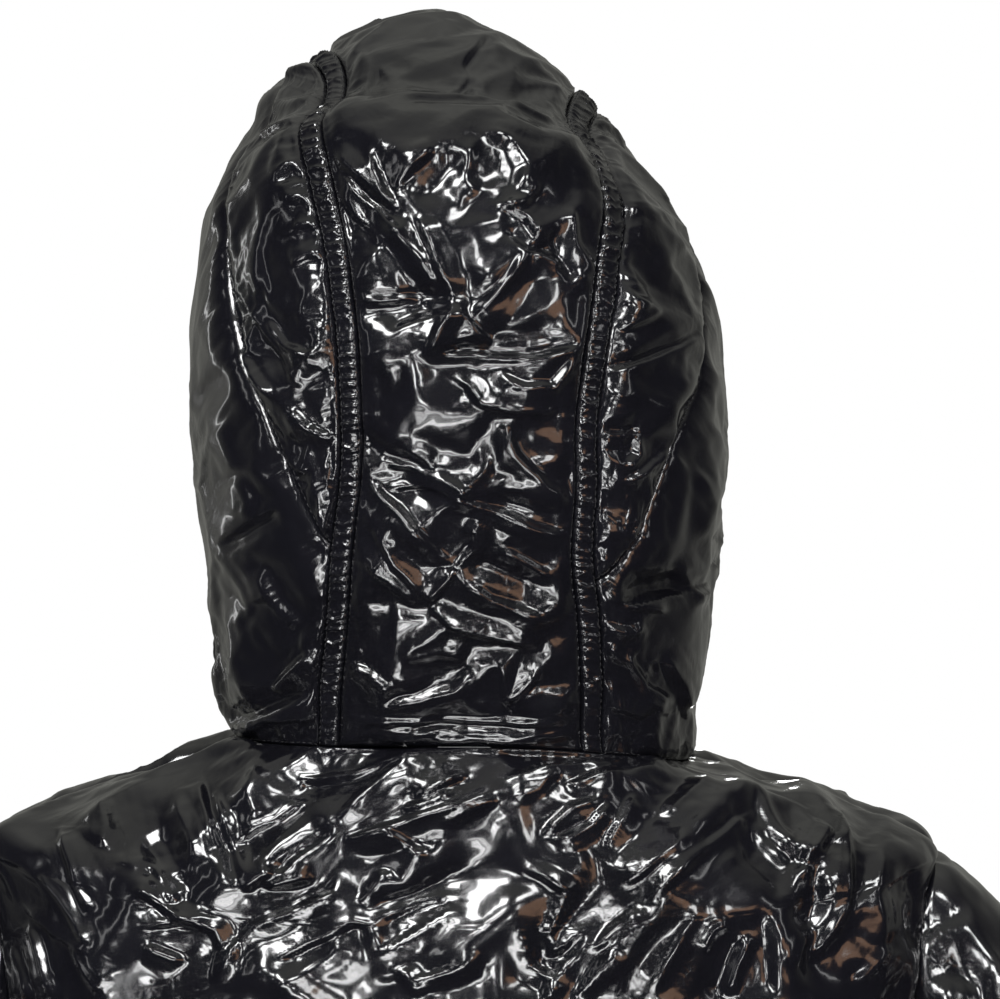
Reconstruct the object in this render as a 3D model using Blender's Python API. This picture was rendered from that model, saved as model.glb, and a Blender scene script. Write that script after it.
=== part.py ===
"""A hooded puffer jacket in glossy film-coated cloth, filled out as it is when worn.

Frame: metres, +Z up, the front of the jacket faces -Y and the wearer's left is +X.
The origin is the middle of the neck seam, where neck and shoulders carry the jacket.

Every cloth piece is one padded wall: a fine outer sheet over a plain inner one, joined
round its rim. The torso is a stack of closed loops, the hood a shape seen from one point
inside it, and each sleeve a run of rings that starts on its armhole.
"""

import math
from collections import namedtuple

import bmesh
import bpy
import numpy as np
from mathutils import Matrix

# ---------------------------------------------------------------- driving sizes, metres
WALL = 0.008  # shell, wadding and lining where they are sewn flat
SEAM_GAP = 0.00035  # between two pieces at a seam
CURVED_SEAM_GAP = 0.0006  # where a seam turns fast between two points
NECK_GAP = 0.0008  # between hood and body, whose seams are cut at other points
PUFF_FADE = 0.020  # a piece rises from its seam to full loft over this distance
YOKE_PUFF = 0.004  # loft of the plain yoke
CHANNEL_PUFF = 0.013  # loft of a sewn channel
SLEEVE_PUFF = 0.0104  # loft of one on the sleeve
HOOD_PUFF = 0.005
SIDE_PANEL_PUFF = 0.006
SIDE_PANEL_FADE = 0.016
STRIP_PUFF = 0.0022
STRIP_HALF_WIDTH = 0.0050  # of the raised strip beside the hood's centre panel
THINNEST = 0.003  # what a crease leaves of the wall

BODY_LENGTH = 0.72  # hem to neck, measured along the back
BODY_ROWS = 42
ARMPIT_ROW = 22
TIP_ROW = 33
BACK_COLUMNS = 20
FRONT_COLUMNS = 10
ZIP_HALF_WIDTH = 0.0090  # from the centre front to a front panel's edge
CHANNEL_HEIGHT = 0.094
CHANNELS = 5
HEM_BAND = 0.026  # turned hem, below its line of stitching
HEM_SHARE = 0.35  # loft of the hem, as a share of a channel's
UNDER_ARM_LOSS = 0.55  # share of its loft that the body loses under the arms
UNDER_ARM = 0.150  # that starts this far from the middle
UNDER_ARM_FADE = 0.070

HOOD_ROWS = 48
CENTRE_COLUMNS = 8
SIDE_COLUMNS = 6
CHEEK_COLUMNS = 8
HOOD_EYE = np.array([0.0, -0.010, 0.160])  # the hood is star-shaped seen from here
HOOD_ROUNDNESS = 2.3
FIRST_SIDE_ROW = {"left": 8, "right": 6}
LAST_SIDE_ROW = 38
TIP_WIDTH = 0.0026  # width of the side panel at its two pointed ends

SLEEVE_LENGTH = 0.62
SLEEVE_ROWS = 36
CUFF_BAND = 0.026
CAP_LENGTH = 0.090  # the armhole's shape has faded out of the sleeve's rings here
FIRST_SLEEVE_SEAM = 0.150  # from the armhole
SLEEVE_CHANNELS = 5

ZIP_FOOT = 0.002  # from the hem to the zip's lower end
ZIP_TOP = 0.004  # from the neck seam down to its upper end
TAPE_DEPTH = 0.0050  # the tapes' inner face, inside the cloth's surface
TAPE_THICKNESS = 0.0012
CHAIN_HALF_WIDTH = 0.0031
CHAIN_THICKNESS = 0.0026
SLIDER_ALONG = BODY_LENGTH - 0.022
SLIDER_SIZE = (0.0092, 0.0026, 0.0130)  # width, thickness, height
AXIS_OUT = 0.0036  # the pull's axis, in front of the slider's face
BRIDGE_INNER = 0.0021
BRIDGE_OUTER = 0.0034
BRIDGE_HALF_WIDTH = 0.0009
PULL_EYE = 0.0045  # from the axis to the far end of the pull's eye
PULL_LENGTH = 0.034
PULL_HALF_WIDTH = 0.0034
PULL_THICKNESS = 0.0014
CROSSBAR = 0.0007  # from the axis to the upper edge of the tab, and to the eye
EYE_ROOM = 0.0006  # between the eye's side and the bridge
CORNER = 0.0012
EYE_CORNER = 0.0004

# ------------------------------------------------------------------------------- tables
# Torso loops, from hem to neck. along: distance up the back; back_z, left_z, right_z,
# front_z: heights of the loop; half_width, back_y, front_y: its reach; roundness: the
# exponent of the superellipse it follows.
Loop = namedtuple(
    "Loop", "along back_z left_z right_z front_z half_width back_y front_y roundness"
)
TORSO = (
    Loop(0.00, -0.630, -0.630, -0.630, -0.630, 0.226, 0.114, -0.121, 2.4),
    Loop(0.11, -0.520, -0.520, -0.520, -0.520, 0.230, 0.118, -0.126, 2.4),
    Loop(0.23, -0.400, -0.400, -0.400, -0.400, 0.219, 0.112, -0.122, 2.4),
    Loop(0.377, -0.255, -0.254, -0.258, -0.262, 0.229, 0.124, -0.133, 2.5),
    Loop(0.48, -0.155, -0.152, -0.160, -0.190, 0.236, 0.126, -0.132, 2.5),
    Loop(0.566, -0.086, -0.057, -0.065, -0.136, 0.237, 0.119, -0.126, 2.5),
    Loop(0.607, -0.060, -0.043, -0.050, -0.118, 0.210, 0.115, -0.124, 2.5),
    Loop(0.65, -0.037, -0.029, -0.035, -0.100, 0.178, 0.110, -0.121, 2.4),
    Loop(0.688, -0.017, -0.0190, -0.0270, -0.086, 0.145, 0.105, -0.119, 2.35),
    Loop(0.72, 0.000, -0.004, -0.0165, -0.072, 0.114, 0.099, -0.117, 2.3),
)
ARMHOLE_HALF_ANGLE = {"left": math.radians(19), "right": math.radians(21)}

# Level sections of the filled hood: its reach to the wearer's left and right, to the back
# and the front, and the y at which it is widest.
Section = namedtuple("Section", "height left right back middle front")
HOOD = (
    Section(-0.120, 0.114, -0.114, 0.099, 0.000, -0.117),
    Section(0.000, 0.114, -0.114, 0.099, 0.000, -0.117),
    Section(0.012, 0.1145, -0.1140, 0.103, 0.000, -0.121),
    Section(0.024, 0.1183, -0.1165, 0.108, 0.000, -0.126),
    Section(0.048, 0.1214, -0.1206, 0.116, 0.000, -0.132),
    Section(0.085, 0.1249, -0.1231, 0.127, 0.000, -0.138),
    Section(0.134, 0.1297, -0.1282, 0.138, 0.000, -0.144),
    Section(0.165, 0.1321, -0.1277, 0.143, 0.000, -0.147),
    Section(0.195, 0.1316, -0.1252, 0.145, 0.000, -0.149),
    Section(0.232, 0.1280, -0.1160, 0.144, 0.000, -0.151),
    Section(0.257, 0.1234, -0.1032, 0.139, -0.001, -0.152),
    Section(0.281, 0.1150, -0.0885, 0.130, -0.003, -0.152),
    Section(0.302, 0.1040, -0.0735, 0.115, -0.006, -0.149),
    Section(0.318, 0.0965, -0.0625, 0.098, -0.012, -0.145),
    Section(0.3295, 0.0850, -0.0490, 0.080, -0.020, -0.139),
    Section(0.3413, 0.0700, -0.0320, 0.056, -0.030, -0.128),
    Section(0.3534, 0.0440, -0.0060, 0.020, -0.042, -0.108),
    Section(0.3594, 0.0270, 0.0045, -0.010, -0.052, -0.088),
    Section(0.3630, 0.0180, 0.0120, -0.040, -0.056, -0.070),
)
# The strips over the head: pitch seen from HOOD_EYE (0 looks back, 90 up) and distance
# from the middle, on the wearer's left and right.
Strip = namedtuple("Strip", "pitch left right")
STRIPS = (
    Strip(-55.7, 0.0655, 0.0644),
    Strip(-39.4, 0.0600, 0.0620),
    Strip(-26.0, 0.0574, 0.0586),
    Strip(-11.6, 0.0529, 0.0604),
    Strip(-3.2, 0.0519, 0.0599),
    Strip(12.4, 0.0533, 0.0640),
    Strip(28.7, 0.0586, 0.0699),
    Strip(40.0, 0.0650, 0.0722),
    Strip(54.0, 0.0700, 0.0660),
    Strip(73.0, 0.0665, 0.0618),
    Strip(98.0, 0.0740, 0.0620),
    Strip(133.0, 0.0660, 0.0600),
)
# The seam round each of the hood's side panels, seen from HOOD_EYE: its elevation, and how
# far it lies round from the back, in degrees.
SideSeam = namedtuple("SideSeam", "left_rise left_turn right_rise right_turn")
SIDE_SEAM = (
    SideSeam(-23.5, 25.5, -30.5, 27.5),
    SideSeam(-15.0, 30.0, -23.5, 34.0),
    SideSeam(-6.0, 34.0, -14.0, 39.0),
    SideSeam(4.0, 38.5, -4.0, 44.0),
    SideSeam(14.0, 44.0, 7.0, 54.0),
    SideSeam(23.0, 49.0, 17.0, 60.0),
    SideSeam(32.0, 52.5, 28.0, 68.0),
    SideSeam(40.0, 56.5, 39.0, 75.0),
    SideSeam(48.0, 61.0, 49.0, 79.0),
    SideSeam(56.0, 68.0, 58.0, 83.0),
    SideSeam(63.0, 80.0, 65.0, 90.0),
)
# The face opening, from forehead to chin, as points that the hood's edge passes.
Edge = namedtuple("Edge", "x y z")
FACE_EDGE = (
    Edge(0.077, -0.146, 0.298),
    Edge(0.090, -0.136, 0.255),
    Edge(0.098, -0.124, 0.190),
    Edge(0.094, -0.118, 0.110),
    Edge(0.074, -0.118, 0.030),
    Edge(0.042, -0.120, -0.025),
    Edge(0.0095, -0.122, -0.048),
)

# Rings of the left sleeve: along the arm, its upper and lower point, its middle's y and
# its half depth.
Ring = namedtuple("Ring", "along top_x top_z low_x low_z mid_y half_depth")
SLEEVE = (
    Ring(0.00, 0.238, -0.055, 0.229, -0.254, 0.000, 0.060),
    Ring(0.03, 0.262, -0.074, 0.240, -0.256, 0.000, 0.070),
    Ring(0.08, 0.290, -0.112, 0.250, -0.262, 0.000, 0.077),
    Ring(0.16, 0.341, -0.172, 0.257, -0.280, -0.001, 0.076),
    Ring(0.28, 0.378, -0.286, 0.262, -0.335, -0.006, 0.069),
    Ring(0.42, 0.398, -0.425, 0.284, -0.452, -0.020, 0.060),
    Ring(0.56, 0.409, -0.564, 0.309, -0.578, -0.043, 0.050),
    Ring(0.62, 0.412, -0.624, 0.318, -0.634, -0.054, 0.047),
)

# The folds that move the whole wall of the hood, as seen from behind: a trough over the
# crown, and under it the roll that stands out. depth is negative on the roll.
Bend = namedtuple("Bend", "x z depth")
CROWN_TROUGH = (
    Bend(0.118, 0.284, 0.002),
    Bend(0.098, 0.306, 0.007),
    Bend(0.079, 0.320, 0.011),
    Bend(0.058, 0.328, 0.014),
    Bend(0.028, 0.331, 0.014),
    Bend(0.000, 0.327, 0.012),
    Bend(-0.030, 0.321, 0.011),
    Bend(-0.054, 0.312, 0.009),
    Bend(-0.074, 0.297, 0.006),
    Bend(-0.092, 0.273, 0.003),
    Bend(-0.102, 0.245, 0.000),
)
CROWN_ROLL = (
    Bend(0.105, 0.268, -0.002),
    Bend(0.080, 0.292, -0.005),
    Bend(0.045, 0.300, -0.007),
    Bend(0.000, 0.294, -0.006),
    Bend(-0.040, 0.288, -0.005),
    Bend(-0.072, 0.270, -0.003),
    Bend(-0.090, 0.240, 0.000),
)
TROUGH_WIDTH = 0.014
ROLL_WIDTH = 0.020

# Folds of the outer cloth, as seen from behind (or from the front where side is -1): a
# soft trough, or a ridge where depth is negative, from one end to the other.
Fold = namedtuple("Fold", "side x1 z1 x2 z2 depth width")
CREASES = (
    # hood, back of the head
    Fold(1, 0.052, 0.275, 0.006, 0.200, 0.0035, 0.0060),
    Fold(1, 0.040, 0.262, 0.002, 0.216, -0.0035, 0.0060),
    Fold(1, 0.022, 0.262, -0.002, 0.285, 0.0035, 0.0060),
    Fold(1, -0.003, 0.222, 0.050, 0.212, 0.0035, 0.0055),
    Fold(1, -0.003, 0.222, -0.040, 0.250, -0.0035, 0.0065),
    Fold(1, -0.003, 0.222, 0.020, 0.190, -0.0035, 0.0065),
    Fold(1, 0.000, 0.200, -0.055, 0.204, 0.0030, 0.0055),
    Fold(1, 0.052, 0.160, 0.008, 0.118, 0.0035, 0.0065),
    Fold(1, 0.052, 0.124, 0.010, 0.098, -0.0035, 0.0075),
    Fold(1, -0.010, 0.128, -0.055, 0.108, 0.0030, 0.0060),
    Fold(1, 0.004, 0.096, -0.045, 0.080, 0.0035, 0.0060),
    Fold(1, 0.045, 0.044, 0.012, 0.030, -0.0030, 0.0070),
    Fold(1, 0.058, 0.012, -0.058, 0.010, 0.0035, 0.0045),
    Fold(1, 0.108, 0.230, 0.074, 0.178, 0.0035, 0.0065),
    Fold(1, 0.100, 0.192, 0.068, 0.150, -0.0035, 0.0065),
    Fold(1, 0.092, 0.078, 0.074, 0.052, 0.0035, 0.0080),
    Fold(1, -0.084, 0.150, -0.110, 0.190, -0.0030, 0.0080),
    Fold(1, -0.075, 0.078, -0.112, 0.082, 0.0035, 0.0060),
    Fold(1, -0.078, 0.250, -0.098, 0.205, 0.0035, 0.0070),
    # yoke and upper back
    Fold(1, 0.100, -0.020, 0.020, -0.004, 0.0040, 0.0080),
    Fold(1, 0.060, -0.052, -0.010, -0.012, -0.0045, 0.0090),
    Fold(1, 0.126, -0.062, 0.062, -0.012, 0.0045, 0.0080),
    Fold(1, 0.110, -0.098, 0.055, -0.135, -0.0045, 0.0090),
    Fold(1, 0.060, -0.090, -0.030, -0.045, 0.0045, 0.0090),
    Fold(1, 0.150, -0.030, 0.128, -0.090, 0.0045, 0.0100),
    Fold(1, 0.020, -0.110, -0.040, -0.062, -0.0045, 0.0100),
    Fold(1, -0.020, -0.125, -0.085, -0.040, 0.0045, 0.0100),
    Fold(1, -0.060, -0.120, -0.118, -0.045, -0.0045, 0.0100),
    Fold(1, -0.135, -0.045, -0.165, -0.075, 0.0045, 0.0090),
    Fold(1, -0.170, -0.060, -0.172, -0.125, 0.0045, 0.0100),
    Fold(1, -0.120, -0.130, -0.140, -0.080, 0.0045, 0.0100),
    Fold(1, -0.195, -0.120, -0.205, -0.070, -0.0040, 0.0090),
    # chest
    Fold(-1, 0.150, -0.060, 0.080, -0.150, 0.0045, 0.0100),
    Fold(-1, 0.110, -0.075, 0.045, -0.130, -0.0040, 0.0090),
    Fold(-1, 0.185, -0.110, 0.120, -0.150, 0.0045, 0.0090),
    Fold(-1, -0.140, -0.060, -0.070, -0.140, 0.0045, 0.0100),
    Fold(-1, -0.105, -0.080, -0.035, -0.120, -0.0040, 0.0090),
    Fold(-1, -0.190, -0.105, -0.125, -0.155, 0.0045, 0.0090),
    # sleeve caps, back and front
    Fold(1, 0.232, -0.080, 0.262, -0.170, 0.0050, 0.0090),
    Fold(1, 0.262, -0.100, 0.292, -0.190, -0.0050, 0.0100),
    Fold(1, 0.240, -0.150, 0.285, -0.215, 0.0050, 0.0090),
    Fold(1, -0.240, -0.090, -0.285, -0.180, 0.0050, 0.0090),
    Fold(1, -0.250, -0.160, -0.300, -0.215, 0.0050, 0.0090),
    Fold(1, -0.275, -0.110, -0.300, -0.170, -0.0045, 0.0090),
    Fold(-1, 0.240, -0.100, 0.275, -0.200, 0.0050, 0.0090),
    Fold(-1, -0.240, -0.100, -0.275, -0.200, 0.0050, 0.0090),
)

# Colours: base colour, roughness, metallic.
Finish = namedtuple("Finish", "colour roughness metallic")
FINISHES = {
    "glossy_shell": Finish((0.012, 0.012, 0.015), 0.16, 0.0),
    "zip_tape": Finish((0.014, 0.014, 0.015), 0.80, 0.0),
    "zip_plastic": Finish((0.016, 0.016, 0.018), 0.30, 0.0),
    "slider_metal": Finish((0.055, 0.055, 0.060), 0.28, 1.0),
}


# ------------------------------------------------------------------------------ helpers
def column(rows, name):
    """One named column of a table, as an array."""
    return np.array([getattr(row, name) for row in rows], float)


def smooth_curve(keys, values, at):
    """A smooth curve through values at keys that never overshoots them, read at any places."""
    at = np.clip(np.asarray(at, float), keys[0], keys[-1])
    rises = (np.diff(values, axis=0).T / np.diff(keys)).T
    both = rises[1:] * rises[:-1]
    slopes = np.concatenate([rises[:1], np.zeros_like(both), rises[-1:]])
    slopes[1:-1] = np.where(both > 0, 2 * both / np.where(both > 0, rises[1:] + rises[:-1], 1), 0)
    i = np.clip(np.searchsorted(keys, at, side="right") - 1, 0, len(keys) - 2)
    step = keys[i + 1] - keys[i]
    s = (at - keys[i]) / step
    if values.ndim > 1:
        s, step = s[..., None], step[..., None]
    return (
        (1 + 2 * s) * (1 - s) ** 2 * values[i]
        + s * (1 - s) ** 2 * step * slopes[i]
        + s * s * (3 - 2 * s) * values[i + 1]
        - s * s * (1 - s) * step * slopes[i + 1]
    )


def ease(x):
    """0 below 0, 1 above 1, and smooth between."""
    x = np.clip(x, 0, 1)
    return x * x * (3 - 2 * x)


def unit(vectors):
    return vectors / np.linalg.norm(vectors, axis=-1, keepdims=True)


def loft(distance, fade=PUFF_FADE):
    """How far a padded piece has risen, this far from its seam: a quarter circle."""
    inward = 1 - np.clip(distance / fade, 0, 1)
    return np.sqrt(1 - inward * inward)


def run_along(points, axis):
    """The distance along one axis of a grid of points, from its start."""
    step = np.linalg.norm(np.diff(points, axis=axis), axis=-1)
    first = np.zeros_like(step.take([0], axis=axis))
    return np.cumsum(np.concatenate([first, step], axis=axis), axis=axis)


def along_and_away(points, start, end):
    """Where each point lies along a line seen from behind, from 0 to 1, and how far off it."""
    run = np.array(end) - start
    flat = points[..., [0, 2]] - start
    along = np.clip(flat @ run / (run @ run), 0, 1)
    return along, np.linalg.norm(flat - along[..., None] * run, axis=-1)


def crease_shift(points):
    """How far the creases push each point of the outer cloth inwards."""
    shift = np.zeros(points.shape[:-1])
    for fold in CREASES:
        along, away = along_and_away(points, (fold.x1, fold.z1), (fold.x2, fold.z2))
        fade = ease(along / 0.3) * ease((1 - along) / 0.3)
        facing = ease(fold.side * points[..., 1] / 0.03)
        shift += fold.depth * fade * facing * np.exp(-((away / fold.width) ** 2))
    return shift


def bend_shift(points, bends, width):
    """How far one long bend pushes the whole wall inwards, from its nearest stretch."""
    nearest = np.full(points.shape[:-1], np.inf)
    depth = np.zeros(points.shape[:-1])
    for start, end in zip(bends, bends[1:]):
        along, away = along_and_away(points, (start.x, start.z), (end.x, end.z))
        closer = away < nearest
        nearest = np.where(closer, away, nearest)
        depth = np.where(closer, start.depth + (end.depth - start.depth) * along, depth)
    return depth * np.exp(-((nearest / width) ** 2)) * ease(points[..., 1] / 0.04)


# -------------------------------------------------------------------------------- walls
def grid_faces(rows, columns, first, wrap):
    """Quads of a grid of points whose numbers start at first."""
    faces = []
    for r in range(rows - 1):
        for c in range(columns if wrap else columns - 1):
            d = (c + 1) % columns
            below, above = first + r * columns, first + (r + 1) * columns
            faces.append((below + c, below + d, above + d, above + c))
    return faces


def rim_faces(outer, inner):
    """Faces between a closed line of outer points and an inner one with every second point."""
    faces = []
    for k in range(len(outer) // 2):
        a, b, c = outer[2 * k], outer[2 * k + 1], outer[(2 * k + 2) % len(outer)]
        d, e = inner[k], inner[(k + 1) % len(inner)]
        faces += [(a, b, d), (b, c, e), (b, e, d)]
    return faces


def rim_line(rows, columns, first):
    """The numbers of a grid's points round its four sides, in order."""
    index = np.arange(rows * columns).reshape(rows, columns) + first
    return [*index[0, :-1], *index[:-1, -1], *index[-1, :0:-1], *index[:0:-1, 0]]


def wall(name, outer, inner, finish, wrap=False):
    """A closed wall from a grid of outer points and the inner points behind them.

    Every second inner point is used, so the grid has an odd number of points each way,
    or an even number round a tube.
    """
    plain = inner[::2, ::2]
    rows, columns = outer.shape[:2]
    plain_rows, plain_columns = plain.shape[:2]
    first = rows * columns
    faces = grid_faces(rows, columns, 0, wrap) + grid_faces(plain_rows, plain_columns, first, wrap)
    if wrap:
        for end, plain_end in ((0, 0), (rows - 1, plain_rows - 1)):
            around = [end * columns + c for c in range(columns)]
            behind = [first + plain_end * plain_columns + c for c in range(plain_columns)]
            faces += rim_faces(around, behind)
    else:
        faces += rim_faces(rim_line(rows, columns, 0), rim_line(plain_rows, plain_columns, first))
    points = np.concatenate([outer.reshape(-1, 3), plain.reshape(-1, 3)])
    return mesh_object(name, points, faces, finish)


def mesh_object(name, points, faces, finish):
    """An object of one closed mesh, its faces pointing out."""
    mesh = bpy.data.meshes.new(name)
    mesh.from_pydata([tuple(p) for p in points], [], [tuple(int(i) for i in f) for f in faces])
    made = bmesh.new()
    made.from_mesh(mesh)
    bmesh.ops.triangulate(made, faces=made.faces[:])
    bmesh.ops.recalc_face_normals(made, faces=made.faces[:])
    made.to_mesh(mesh)
    made.free()
    mesh.shade_smooth()
    mesh.materials.append(material(finish))
    obj = bpy.data.objects.new(name, mesh)
    bpy.context.scene.collection.objects.link(obj)
    return obj


def material(name):
    """The named finish as a Principled material, made once."""
    found = bpy.data.materials.get(name)
    if found:
        return found
    made = bpy.data.materials.new(name)
    made.use_nodes = True
    shader = made.node_tree.nodes["Principled BSDF"]
    finish = FINISHES[name]
    shader.inputs["Base Color"].default_value = (*finish.colour, 1.0)
    shader.inputs["Roughness"].default_value = finish.roughness
    shader.inputs["Metallic"].default_value = finish.metallic
    return made


def creased(base, away, puff):
    """Outer and inner points of a wall: base is its surface, away points out of it."""
    deep = bend_shift(base, CROWN_TROUGH, TROUGH_WIDTH) + bend_shift(base, CROWN_ROLL, ROLL_WIDTH)
    rise = np.maximum(puff - crease_shift(base), THINNEST - WALL)
    return base + away * (rise - deep)[..., None], base - away * (WALL + deep)[..., None]


# -------------------------------------------------------------------------------- torso
def torso_point(angle, along):
    """A point of the body: angle 0 is the middle of the back, +90 degrees the wearer's left."""
    keys = column(TORSO, "along")
    at = {name: smooth_curve(keys, column(TORSO, name), along) for name in Loop._fields[1:]}
    power = 2 / at["roundness"]
    sine, cosine = np.sin(angle), np.cos(angle)
    x = at["half_width"] * np.sign(sine) * np.abs(sine) ** power
    reach = np.where(cosine > 0, at["back_y"], -at["front_y"])
    y = reach * np.sign(cosine) * np.abs(cosine) ** power
    side = np.where(sine > 0, at["left_z"], at["right_z"])
    end = np.where(cosine > 0, at["back_z"], at["front_z"])
    return np.stack([x, y, side + (end - side) * cosine * cosine], axis=-1)


def torso_away(angle, along):
    """The direction straight out of the body's surface."""
    turn, climb = 0.02, 0.004
    around = torso_point(angle + turn, along) - torso_point(angle - turn, along)
    below, above = np.maximum(along - climb, 0), np.minimum(along + climb, BODY_LENGTH)
    return unit(np.cross(torso_point(angle, above) - torso_point(angle, below), around))


def armhole_angle(side, row):
    """How far round from the back the armhole's edge lies in a row, seen from the back or front."""
    share = np.clip((row - ARMPIT_ROW) / (TIP_ROW - ARMPIT_ROW), 0, 1)
    return math.pi / 2 - ARMHOLE_HALF_ANGLE[side] * np.sqrt(np.sin(math.pi * share))


def channel_puff(along, first, height, end):
    """Loft between lines of stitching that start at first and repeat every height."""
    place = np.clip((along - first) / height, 0, None)
    within = place - np.floor(place)
    rise = np.abs(np.sin(math.pi * within)) ** 0.6
    return np.where((along > first) & (along < end), rise, 0.0)


def torso_puff(along):
    """Loft up the body: a turned hem, sewn channels and a plain yoke."""
    top = HEM_BAND + CHANNELS * CHANNEL_HEIGHT
    channels = CHANNEL_PUFF * channel_puff(along, HEM_BAND, CHANNEL_HEIGHT, top)
    hem = HEM_SHARE * CHANNEL_PUFF * np.sin(math.pi * np.clip(along / HEM_BAND, 0, 1))
    yoke = YOKE_PUFF * loft(along - top) * loft(BODY_LENGTH - along)
    return np.where(along < HEM_BAND, hem, np.where(along < top, channels, yoke))


def torso_panel(name, angles):
    """A panel of the body. angles(row) gives the first and last angle of each row."""
    rows = np.arange(BODY_ROWS + 1)
    columns = BACK_COLUMNS if name == "back" else FRONT_COLUMNS
    share = np.linspace(0, 1, columns + 1)
    ends = np.array([angles(row) for row in rows])
    angle = ends[:, :1] + (ends[:, 1:] - ends[:, :1]) * share
    along = np.repeat((rows / BODY_ROWS * BODY_LENGTH)[:, None], columns + 1, axis=1)
    along[-1] -= NECK_GAP / 2
    base, away = torso_point(angle, along), torso_away(angle, along)
    run = run_along(base, 1)
    edge = np.minimum(run, run[:, -1:] - run)
    under_arm = ease((np.abs(base[..., 0]) - UNDER_ARM) / UNDER_ARM_FADE)
    below_armpit = ease((ARMPIT_ROW / BODY_ROWS * BODY_LENGTH + 0.07 - along) / 0.05)
    puff = torso_puff(along) * loft(edge) * (1 - UNDER_ARM_LOSS * under_arm * below_armpit)
    outer, inner = creased(base, away, puff)
    return wall(name, outer, inner, "glossy_shell")


def seam_angle():
    """The angle that half of SEAM_GAP takes at the side seam."""
    return SEAM_GAP / 2 / column(TORSO, "half_width").mean()


def front_edge_angle(along):
    """The angle at which a front panel stops beside the zip."""
    half = smooth_curve(column(TORSO, "along"), column(TORSO, "half_width"), along)
    power = smooth_curve(column(TORSO, "along"), column(TORSO, "roundness"), along) / 2
    return math.asin(float((ZIP_HALF_WIDTH / half) ** power))


def make_body():
    """The back and the two fronts, which meet at the side seams and on the shoulders."""
    gap = seam_angle()

    def back(row):
        return gap - armhole_angle("right", row), armhole_angle("left", row) - gap

    def front(side):
        sign = 1 if side == "left" else -1

        def ends(row):
            along = row / BODY_ROWS * BODY_LENGTH
            edge = math.pi - front_edge_angle(along)
            seam = math.pi - armhole_angle(side, row) + gap
            return (sign * seam, sign * edge)

        return ends

    torso_panel("back", back)
    torso_panel("front_left", front("left"))
    torso_panel("front_right", front("right"))


# --------------------------------------------------------------------------------- hood
def hood_reach(points):
    """How far out each point lies, as a share of the hood's level section there."""
    heights = column(HOOD, "height")
    at = {name: smooth_curve(heights, column(HOOD, name), points[..., 2]) for name in Section._fields[1:]}
    across = (points[..., 0] - (at["left"] + at["right"]) / 2) / (at["left"] - at["right"])
    deep = points[..., 1] - at["middle"]
    deep = np.where(deep > 0, deep / (at["back"] - at["middle"]), deep / (at["front"] - at["middle"]))
    return (np.abs(2 * across) ** HOOD_ROUNDNESS + np.abs(deep) ** HOOD_ROUNDNESS) ** (1 / HOOD_ROUNDNESS)


def hood_away(points):
    """The direction straight out of the hood's surface."""
    step = 0.002
    slope = [hood_reach(points + step * axis) - hood_reach(points - step * axis) for axis in np.eye(3)]
    return unit(np.stack(slope, axis=-1))


def hood_point(directions):
    """Where each direction from HOOD_EYE meets the hood, found by halving."""
    near, far = np.full(directions.shape[:-1], 0.02), np.full(directions.shape[:-1], 0.60)
    for _ in range(36):
        middle = (near + far) / 2
        points = HOOD_EYE + middle[..., None] * directions
        inside = (hood_reach(points) < 1) & (points[..., 2] < HOOD[-1].height)
        near, far = np.where(inside, middle, near), np.where(inside, far, middle)
    return HOOD_EYE + near[..., None] * directions


def direction_to(points):
    return unit(np.asarray(points, float) - HOOD_EYE)


def pitch_direction(pitch, sideways):
    """The direction at a pitch that meets the hood this far sideways from its middle."""
    direction = np.stack([sideways / 0.2, np.cos(pitch), np.sin(pitch)], axis=-1)
    for _ in range(8):
        direction[..., 0] *= sideways / hood_point(unit(direction))[..., 0]
    return unit(direction)


def strip_line(side, offset):
    """Directions down a strip's line, row by row, offset outwards from its middle."""
    sign = 1 if side == "left" else -1
    keys = np.radians(column(STRIPS, "pitch"))
    pitch = np.linspace(keys[0], keys[-1], HOOD_ROWS + 1)
    return pitch_direction(pitch, sign * (smooth_curve(keys, column(STRIPS, side), pitch) + offset))


def neck_direction(angle):
    """Directions to the neck seam: angle 0 is the middle of the back."""
    seam = torso_point(angle, np.full_like(angle, BODY_LENGTH))
    seam[..., 2] += NECK_GAP / 2
    return direction_to(seam)


def neck_angle(side, offset):
    """How far round the neck seam a strip's line starts, offset outwards from its middle."""
    sideways = column(STRIPS, side)[0] + offset
    angle = math.asin((sideways / TORSO[-1].half_width) ** (TORSO[-1].roundness / 2))
    return angle if side == "left" else -angle


def strip_edge(side, offset):
    """The strip's line, with its first point on the neck seam."""
    line = strip_line(side, offset)
    line[0] = neck_direction(np.array([neck_angle(side, offset)]))[0]
    return line


def straight_across(first, last, columns):
    """Directions from one line to another, row by row, along great circles."""
    share = np.linspace(0, 1, columns + 1)[:, None]
    angle = np.arccos(np.clip((first * last).sum(-1), -1, 1))[:, None, None]
    mixed = np.sin((1 - share) * angle) * first[:, None] + np.sin(share * angle) * last[:, None]
    return mixed / np.sin(angle)


def round_the_side(first, last, columns):
    """Directions from one line to another, by even steps of turn and elevation."""
    share = np.linspace(0, 1, columns + 1)
    ends = [(np.arctan2(line[:, 0], line[:, 1]), np.arcsin(line[:, 2])) for line in (first, last)]
    turn, rise = (start[:, None] + (end - start)[:, None] * share for start, end in zip(*ends))
    return np.stack([np.sin(turn) * np.cos(rise), np.cos(turn) * np.cos(rise), np.sin(rise)], axis=-1)


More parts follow.
